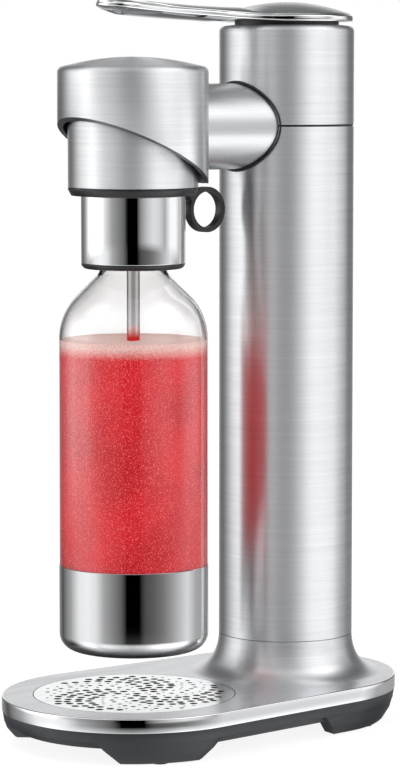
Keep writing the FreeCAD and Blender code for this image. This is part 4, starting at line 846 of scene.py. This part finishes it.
class BuildColumn(bpy.types.Operator):
    """Make the brushed column, its rear cover and the upper housing."""

    bl_idname = "carbonator.build_column"
    bl_label = "Column"

    def execute(self, context):
        for piece, node, body, start, stop, steps in (
                ("column_shell", "column_tube", "stand", -SEAM, SEAM, 150),
                ("rear_panel", "rear_cover", "rear_cover", SEAM + SEAM_GAP, 360 - SEAM - SEAM_GAP, 60)):
            outline = sleeve_outline(node, COLUMN_R, COLUMN_WALL, COLUMN_ROUND, COLUMN_ROUND)
            turned_piece(piece, node, outline, COLUMN_Y, "steel round", body, "brushed_steel",
                         start, stop, steps)
        top = HOUSING_TOP
        inner = COLUMN_R - COLUMN_WALL
        housing = rounded([
            (inner, HOUSING_BOTTOM), (COLUMN_R, HOUSING_BOTTOM, COLUMN_ROUND),
            (COLUMN_R, top - SHOULDER_DROP, 3.2 * MM), (MOUTH_R, top, 0.3 * MM), (MOUTH_R, top - COLUMN_WALL),
            (COLUMN_R - 3.5 * MM, top - SHOULDER_DROP - COLUMN_WALL), (inner, top - 4 * MM)], 8)
        turned_piece("housing_shell", "upper_housing", housing, COLUMN_Y, "steel round", "stand",
                     "brushed_steel")
        dress("black plastic", ["seam_ring"])
        dress("inner plastic", ["cover_liner", "column_frame"])
        return {"FINISHED"}


class BuildGasSupply(bpy.types.Operator):
    """Finish the gas cylinder, its valve and the pipework."""

    bl_idname = "carbonator.build_gas_supply"
    bl_label = "Gas supply"

    def execute(self, context):
        dress("cylinder paint", ["co2_cylinder"])
        dress("brass", ["cylinder_valve", "valve_block", "injector_block"])
        dress("rubber", ["valve_seal", "nozzle_seal"])
        dress("cast metal", ["valve_plunger", "gas_tube"])
        dress("fastener steel", ["plunger_spring"])
        return {"FINISHED"}


# ---- lever ----

# Sections of the lever's arm: distance forward of the column axis, half width, then heights of the
# crown, the edge, the lip under the edge and the keel
LEVER_SECTIONS = (
    (26.0, 29.6, 425.2, 420.25, 416.9, 416.9),
    (34.0, 21.6, 424.8, 420.3, 417.4, 417.5),
    (42.0, 16.4, 424.6, 420.7, 417.9, 417.6),
    (52.0, 13.0, 424.7, 421.4, 418.5, 416.7),
    (62.0, 11.6, 424.95, 422.1, 419.2, 416.2),
    (75.0, 11.1, 425.4, 422.8, 419.8, 416.7),
    (90.0, 11.5, 426.2, 423.5, 420.5, 417.3),
    (105.0, 12.7, 427.1, 424.4, 421.4, 418.0),
    (120.0, 13.9, 428.2, 425.3, 422.3, 418.9),
    (132.0, 14.2, 429.2, 426.1, 423.4, 420.2),
    (141.0, 14.0, 429.8, 426.6, 424.4, 421.8),
)
LEVER_TIP_R = 14.0
TIP_START = 140.5 - LEVER_TIP_R
LEVER_R = 39.4
RECESS_SHARE = 0.92        # the disc is hollow underneath out to this share of its radius
RECESS_DEPTH = 2.2
DOME_TOP = 428.2
DOME_EDGE = 420.3
DISC_JOIN = 30.0           # where the arm's sides leave the disc
SPINE_START = 58.0         # beyond this, ribs run square to the centre line
BLEND_START = 20.0         # the dome passes into the arm's crown from here
BLEND_RUN = 24.0
INLAY_TAPER = 84.0
INLAY_END = 112.0
INLAY_SPINE = 96.0


def lever_at(forward):
    """The lever's section at a distance forward, eased between the rows of the table."""
    rows = LEVER_SECTIONS
    forward = min(max(forward, rows[0][0]), rows[-1][0])
    n = max(k for k in range(len(rows) - 1) if rows[k][0] <= forward)
    t = (forward - rows[n][0]) / (rows[n + 1][0] - rows[n][0])
    before, here, there, after = (rows[min(max(k, 0), len(rows) - 1)] for k in (n - 1, n, n + 1, n + 2))
    values = []
    for a, b, c, d in zip(before[1:], here[1:], there[1:], after[1:]):
        values.append(b + 0.5 * t * (c - a + t * (2 * a - 5 * b + 4 * c - d + t * (3 * (b - c) + d - a))))
    return values


def lever_half_outline(inset=0.0, steps=150):
    """Points (x, forward) down the right-hand edge of the lever, from the back of the disc to the tip."""
    radius = LEVER_R - inset
    tip_r = LEVER_TIP_R - inset
    points = []
    disc_end = math.acos(DISC_JOIN / radius)
    for k in range(steps // 2):
        a = math.pi - (math.pi - disc_end) * k / (steps // 2)
        points.append((radius * math.sin(a), radius * math.cos(a)))
    side = steps // 3
    for k in range(side):
        forward = DISC_JOIN + (TIP_START - DISC_JOIN) * k / side
        half = lever_at(forward)[0] - inset
        edge = math.sqrt(max(radius ** 2 - forward ** 2, 0))
        points.append((max(half, edge), forward))
    rest = steps - len(points)
    for k in range(rest + 1):
        a = math.pi / 2 * (1 - k / rest)
        points.append((tip_r * math.sin(a), TIP_START + tip_r * math.cos(a)))
    return points


def lever_heights(forward):
    """Edge, lip and keel heights at a distance forward; the disc's stay as at its front."""
    if forward < LEVER_SECTIONS[0][0]:
        return DOME_EDGE, *LEVER_SECTIONS[0][4:]
    return lever_at(forward)[2:]


def spine_forward(forward):
    """Where on the lever's centre line the rib of an edge point ends."""
    if forward >= SPINE_START:
        return min(forward, TIP_START)
    t = max(forward + LEVER_R, 0) / (SPINE_START + LEVER_R)
    return SPINE_START * t ** 3.2


def crown_height(x, forward):
    """Height of the lever's top over a point, passing from the dome into the arm's crown."""
    radial = math.hypot(x, forward) / LEVER_R
    dome = DOME_EDGE + (DOME_TOP - DOME_EDGE) * (1 - radial ** 2) if radial < 1 else -1e9
    if forward < BLEND_START:
        return dome
    half, crown, edge = lever_at(forward)[:3]
    if forward > TIP_START:
        past = forward - TIP_START
        half = math.sqrt(max(LEVER_TIP_R ** 2 - past ** 2, 1e-6))
    share = min(abs(x) / half, 1.0)
    bar = edge + (crown - edge) * (1 - share ** 2)
    blend = min(max((forward - BLEND_START) / BLEND_RUN, 0), 1)
    blend = blend * blend * (3 - 2 * blend)
    if dome < 0:
        return bar
    return dome * (1 - blend) + bar * blend


def rib_point(x, forward, spine, share):
    """Point (x, forward) at a share of the way from the spine out to an edge point."""
    return x * share, spine + (forward - spine) * share


def mirrored(half):
    """Whole outline from its right-hand half."""
    return half + [(-x, f) for x, f in reversed(half[1:-1])]


def lever_mesh(name, rows):
    """Skin over ribs of (x, forward, height) points in millimetres."""
    rows = [[(x * MM, COLUMN_Y - f * MM, z * MM) for x, f, z in row] for row in rows]
    return swept_mesh(name, rows, around=False)


class BuildLever(bpy.types.Operator):
    """Make the press lever: polished body, satin top and the dark collar under it."""

    bl_idname = "carbonator.build_lever"
    bl_label = "Lever"

    def execute(self, context):
        self.make_body()
        self.make_inlay(context.scene.carbonator_sizes.inlay_inset / MM)
        dress("black plastic", ["lever_skirt"])
        dress("cast metal", ["lever_bracket"])
        dress("fastener steel", ["lever_pin"])
        return {"FINISHED"}

    def make_body(self):
        """Closed skin of the lever from ribs that run from its spine over the edge to the keel."""
        rows = []
        for x, forward in mirrored(lever_half_outline()):
            edge, lip, keel = lever_heights(forward)
            spine = spine_forward(forward)
            row = []
            for share in (0.0, 0.12, 0.25, 0.38, 0.5, 0.62, 0.74, 0.84, 0.92, 0.97):
                spot = rib_point(x, forward, spine, share)
                row.append((*spot, crown_height(*spot)))
            inward = Vector((-x, spine - forward))
            if inward.length > 0:
                inward.normalize()
            for depth, z in ((0.35, edge), (0.08, edge - 0.32), (0.0, edge - 0.8),
                             (0.0, lip + 0.6), (0.15, lip + 0.25), (0.6, lip)):
                row.append((x + inward.x * depth, forward + inward.y * depth, z))
            for share in (0.8, 0.55, 0.3, 0.0):
                spot = rib_point(x, forward, spine, share)
                under = lip + (keel - lip) * (1 - share ** 2)
                if math.hypot(*spot) < RECESS_SHARE * LEVER_R:
                    under = lip + RECESS_DEPTH
                row.append((*spot, under))
            rows.append(row)
        new_piece("lever_handle", lever_mesh("lever_handle", rows), "polished steel", "lever",
                  ["lever_body"])

    def make_inlay(self, inset):
        """Satin sheet on top, that narrows to a point before the tip."""
        shaped = []
        for x, forward in lever_half_outline(inset):
            if forward < INLAY_END:
                t = max((forward - INLAY_TAPER) / (INLAY_END - INLAY_TAPER), 0.0)
                shaped.append((x * math.sqrt(max(1 - t ** 2.2, 0.0)), forward))
        rows = []
        for x, forward in mirrored(shaped + [(0.0, INLAY_END)]):
            spine = min(spine_forward(forward), INLAY_SPINE)
            row = []
            for share in (0.0, 0.15, 0.3, 0.45, 0.6, 0.75, 0.88, 0.96, 0.99):
                spot = rib_point(x, forward, spine, share)
                row.append((*spot, crown_height(*spot) + (0.35 if share < 0.99 else 0.25)))
            row.append((x, forward, crown_height(x, forward) - 0.1))
            rows.append(row)
        new_piece("lever_inlay", lever_mesh("lever_inlay", rows), "steel lever", "lever",
                  ["lever_top"])


# ---- arm and head ----

def arm_ring_point(turn, widen, radius, axis_y, toward):
    """Point where the arm's outline, widened a little, meets an upright cylinder."""
    x = (ARM_HALF_WIDTH + widen) * math.cos(turn)
    z = ARM_Z + (ARM_HALF_HEIGHT + widen) * math.sin(turn)
    return Vector((x, axis_y + toward * math.sqrt(radius ** 2 - x ** 2), z))


ARM_STEPS = 120
ARM_LENGTHWISE = 16
ARM_SUNK = 0.3 * MM        # how far the arm's ends reach into the head and the column
BEAD_R = 0.85 * MM
BEAD_STEPS = 12


class BuildArm(bpy.types.Operator):
    """Make the arm's steel shell and the rubber bead round its root."""

    bl_idname = "carbonator.build_arm"
    bl_label = "Arm"

    def execute(self, context):
        rows = []
        bead = []
        for n in range(ARM_STEPS):
            turn = FULL_TURN * n / ARM_STEPS
            start = arm_ring_point(turn, 0, HEAD_R - ARM_SUNK, BOTTLE_Y, 1)
            stop = arm_ring_point(turn, 0, COLUMN_R - ARM_SUNK, COLUMN_Y, -1)
            outer = [tuple(start.lerp(stop, k / ARM_LENGTHWISE)) for k in range(ARM_LENGTHWISE + 1)]
            inner = [(x * 0.945, y, ARM_Z + (z - ARM_Z) * 0.94) for x, y, z in reversed(outer)]
            rows.append(outer + inner)
            centre = arm_ring_point(turn, 0.75 * MM, COLUMN_R + 0.15 * MM, COLUMN_Y, -1)
            out = Vector((centre.x, 0, centre.z - ARM_Z)).normalized()
            ahead = Vector((centre.x, centre.y - COLUMN_Y, 0)).normalized()
            turns = [FULL_TURN * k / BEAD_STEPS for k in range(BEAD_STEPS)]
            bead.append([tuple(centre + out * BEAD_R * math.cos(a) + ahead * 1.2 * BEAD_R * math.sin(a))
                         for a in turns])
        new_piece("arm_tube", swept_mesh("arm_tube", rows), "steel arm", "stand",
                  ["arm_shell"])
        new_piece("arm_bead", swept_mesh("arm_bead", bead), "rubber", "stand", ["arm_gasket"])
        dress("cast metal", ["arm_frame"])
        return {"FINISHED"}


HEAD_WALL = 3.5 * MM
HEAD_ROUND = 3.6 * MM      # rounding between the head's side and its top
HEAD_SIDE_TOP = 387.0 * MM
HEAD_LIP_ROUND = 0.45 * MM
CUT_MIDDLE_Z = 340.3 * MM  # the slanting edge under the bottle's axis
CUT_SLOPE = 21.1 / 43.3
CUT_LOWEST_Z = 323.5 * MM
DOME_RINGS = 12


def cut_height(back):
    """Height of the head cover's slanting edge at a distance behind the bottle axis."""
    return max(CUT_MIDDLE_Z - CUT_SLOPE * back, CUT_LOWEST_Z)


def head_outline(angle):
    """Outline of the head cover at an angle from the front; its lower edge slants."""
    inner = HEAD_R - HEAD_WALL
    edge_r = HEAD_R - HEAD_ROUND
    top = high("head_cover").z
    rise = top - (HEAD_SIDE_TOP + HEAD_ROUND)
    sphere = (edge_r ** 2 + rise ** 2) / (2 * rise)
    low_out = cut_height(-HEAD_R * math.cos(angle))
    low_in = cut_height(-inner * math.cos(angle))
    r = HEAD_LIP_ROUND
    points = [(inner, low_in + r), (inner + 0.3 * r, low_in + 0.3 * r), (inner + r, low_in)]
    points += [(HEAD_R - r, low_out), (HEAD_R - 0.3 * r, low_out + 0.3 * r), (HEAD_R, low_out + r)]
    points += arc(edge_r, HEAD_SIDE_TOP, HEAD_ROUND, 0, 78, 9)
    for k in range(1, DOME_RINGS + 1):
        radius = edge_r * (1 - k / DOME_RINGS)
        points.append((radius, top - sphere + math.sqrt(sphere ** 2 - radius ** 2)))
    points += [(0.0, top - HEAD_WALL), (0.5 * inner, top - HEAD_WALL - 0.3 * rise), (inner, HEAD_SIDE_TOP)]
    return points


class BuildHead(bpy.types.Operator):
    """Make the head's cover and the collar inside it."""

    bl_idname = "carbonator.build_head"
    bl_label = "Head"

    def execute(self, context):
        cover = turned_piece("head_shell", "head_cover", head_outline, BOTTLE_Y, "steel round", "stand",
                             "brushed_steel")
        inner = HEAD_R - HEAD_WALL + 0.1 * MM
        below = high("head_cover").z - 8 * MM

        def is_lip(centre, normal):
            reach = math.hypot(centre.x, centre.y - BOTTLE_Y)
            return centre.z < below and (normal.z < -0.3 or reach < inner)

        # The lip's downward and inner faces get near-black steel: painted shade
        paint(cover, "steel edge", is_lip)
        collar = sleeve_outline("head_collar", COLLAR_R, 1.6 * MM, 0.5 * MM)
        turned_piece("head_sleeve", "head_collar", collar, BOTTLE_Y, "steel round", "stand", "brushed_steel")
        dress("inner plastic", ["head_frame", "bayonet_collar"])
        return {"FINISHED"}


# ---- cap ----

class BuildCap(bpy.types.Operator):
    """Make the cap's polished sleeve and black parts, the tube and the release ring."""

    bl_idname = "carbonator.build_cap"
    bl_label = "Cap"

    def execute(self, context):
        flange = softened_mesh("cap_flange", 0.25 * MM)
        new_piece("cap_top", flange, "black plastic", "cap", ["cap_flange"])
        sleeve = sleeve_outline("cap_sleeve", SLEEVE_R, 1.2 * MM, 0.35 * MM, 0.2 * MM)
        turned_piece("cap_band", "cap_sleeve", sleeve, BOTTLE_Y, "polished steel", "cap", "polished_steel")
        dress("black plastic", ["cap_base_ring", "tube_tip", "cap_core"])
        dress("rubber", ["cap_gasket"])
        dress("brass", ["pressure_valve"])
        tube = sleeve_outline("dip_tube", high("dip_tube").x, 0.6 * MM, 0.15 * MM)
        turned_piece("tube_wall", "dip_tube", tube, BOTTLE_Y, "tube steel", "cap", "polished_steel",
                     0, 360, 96)
        dress("fastener steel", ["release_pin"])
        ring = softened_mesh("release_ring", 0.7 * MM, segments=3)
        new_piece("ring_pull", ring, "black plastic", "release_ring", ["release_ring"])
        return {"FINISHED"}


# ---- bottle and drink ----

SURFACE_RINGS = 30         # rings of points on the drink's surface
LUMPS_PER_METRE = 190

BOTTLE_WALL = 1.5 * MM
CUP_WALL = 1.2 * MM
IN_CUP_R = CUP_R - CUP_WALL
CUP_ROUND = 10.0 * MM
HEEL_ROUND = CUP_ROUND - CUP_WALL
SHOULDER_ROUND = 36.0 * MM
SHOULDER_Z = 234.5 * MM    # where the side starts to curve in
NECK_R = 19.2 * MM
NECK_ROUND = 6.0 * MM      # where the shoulder's slope meets the neck
NECK_THINNING = 2.0 / 1.5  # the neck's wall against the side's
CLEAR_STEPS = 256          # steps round the bottle, where flats would show as bent reflections


def bottle_side(inset):
    """Bottle outline (radius, height) over the shoulder to the mouth, set in from the outside."""
    neck = NECK_R - inset * NECK_THINNING
    foot = NECK_ROUND + inset
    side = arc(BOTTLE_R - SHOULDER_ROUND, SHOULDER_Z, SHOULDER_ROUND - inset, 0, 45, 14)
    end_r, end_z = side[-1]
    slope_z = end_z + end_r - (neck + foot * (1 - math.sqrt(0.5)))
    foot_arc = arc(neck + foot, slope_z + foot * math.sqrt(0.5), foot, 225, 180, 8)
    return side + foot_arc + [(neck, high("bottle").z)]


def heel(floor_z, inset, steps):
    """Outline of the bottle's rounded foot, set in from the cup's inside."""
    radius = HEEL_ROUND - inset
    return [(0.0, floor_z)] + arc(IN_CUP_R - HEEL_ROUND, floor_z + radius, radius, -90, 0, steps)


class BuildBottle(bpy.types.Operator):
    """Make the clear bottle and its polished cup."""

    bl_idname = "carbonator.build_bottle"
    bl_label = "Bottle"

    def execute(self, context):
        cup_top = high("bottle_cup").z
        cup_bottom = low("bottle_cup").z
        floor_z = cup_bottom + CUP_WALL
        outer = heel(floor_z, 0.0, 8) + [(IN_CUP_R, cup_top - 0.8 * MM), (BOTTLE_R, cup_top + 0.1 * MM)]
        inner = heel(floor_z + BOTTLE_WALL, BOTTLE_WALL, 8)
        inner += [(IN_CUP_R - BOTTLE_WALL, cup_top - 2 * MM), (BOTTLE_R - BOTTLE_WALL, cup_top + 2 * MM)]
        outline = outer + bottle_side(0.0) + list(reversed(inner + bottle_side(BOTTLE_WALL)))
        turned_piece("bottle_shell", "bottle", outline, BOTTLE_Y, "clear plastic", "bottle",
                     "clear_plastic", 0, 360, CLEAR_STEPS)
        centre = (CUP_R - CUP_ROUND, cup_bottom + CUP_ROUND)
        outline = [(0.0, cup_bottom)] + arc(*centre, CUP_ROUND, -90, 0, 14)
        outline += [(CUP_R, cup_top - 0.2 * MM), (CUP_R - 0.2 * MM, cup_top), (IN_CUP_R, cup_top)]
        outline += arc(*centre, HEEL_ROUND, 0, -90, 10) + [(0.0, floor_z)]
        turned_piece("base_cup", "bottle_cup", outline, BOTTLE_Y, "cup steel", "bottle", "polished_steel",
                     0, 360, CLEAR_STEPS)
        return {"FINISHED"}


class BuildDrink(bpy.types.Operator):
    """Make the drink with its uneven, foaming surface."""

    bl_idname = "carbonator.build_drink"
    bl_label = "Drink"

    def execute(self, context):
        surface = high("drink").z
        radius = BOTTLE_R - BOTTLE_WALL + 0.1 * MM
        cup_top = high("bottle_cup").z
        outline = heel(low("drink").z, BOTTLE_WALL, 6)
        outline += [(IN_CUP_R - BOTTLE_WALL, cup_top - 2 * MM), (radius, cup_top + 2 * MM),
                    (radius, surface - 1 * MM), (radius, surface + 0.1 * MM)]
        for k in range(1, SURFACE_RINGS + 1):
            outline.append((radius * (1 - k / SURFACE_RINGS), surface - 0.5 * MM))
        body = turned_mesh("drink_body", outline, BOTTLE_Y, steps=160)
        for vert in body.vertices:
            if vert.co.z > surface - 0.7 * MM:
                reach = math.hypot(vert.co.x, vert.co.y - BOTTLE_Y) / radius
                lump = noise.fractal(vert.co * LUMPS_PER_METRE, 1.0, 2.0, 3)
                vert.co.z += (0.35 * lump - 0.25 * (1 - reach ** 6)) * MM * (1 if reach < 0.995 else 0.3)
        new_piece("drink_body", body, "drink", "bottle", ["drink"])
        return {"FINISHED"}


# ---- panel and registration ----

BUILDERS = (BuildStage, BuildBase, BuildTray, BuildColumn, BuildGasSupply, BuildLever, BuildArm, BuildHead,
            BuildCap, BuildBottle, BuildDrink)


class CarbonatorPanel(bpy.types.Panel):
    """Lists the settings and the pieces."""

    bl_idname = "VIEW3D_PT_carbonator"
    bl_label = "Soda carbonator"
    bl_space_type = "VIEW_3D"
    bl_region_type = "UI"
    bl_category = "Carbonator"

    def draw(self, context):
        for group in (context.scene.carbonator_sizes, context.scene.carbonator_finish):
            for name in group.__annotations__:
                self.layout.prop(group, name)
        for builder in BUILDERS:
            self.layout.operator(builder.bl_idname)


CLASSES = (CarbonatorSizes, CarbonatorFinish, *BUILDERS, CarbonatorPanel)


def register():
    for cls in CLASSES:
        bpy.utils.register_class(cls)
    bpy.types.Scene.carbonator_sizes = PointerProperty(type=CarbonatorSizes)
    bpy.types.Scene.carbonator_finish = PointerProperty(type=CarbonatorFinish)


def unregister():
    del bpy.types.Scene.carbonator_finish
    del bpy.types.Scene.carbonator_sizes
    for cls in reversed(CLASSES):
        bpy.utils.unregister_class(cls)


def main():
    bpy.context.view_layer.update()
    register()
    for builder in BUILDERS:
        family, verb = builder.bl_idname.split(".")
        getattr(getattr(bpy.ops, family), verb)()


if __name__ == "__main__":
    main()
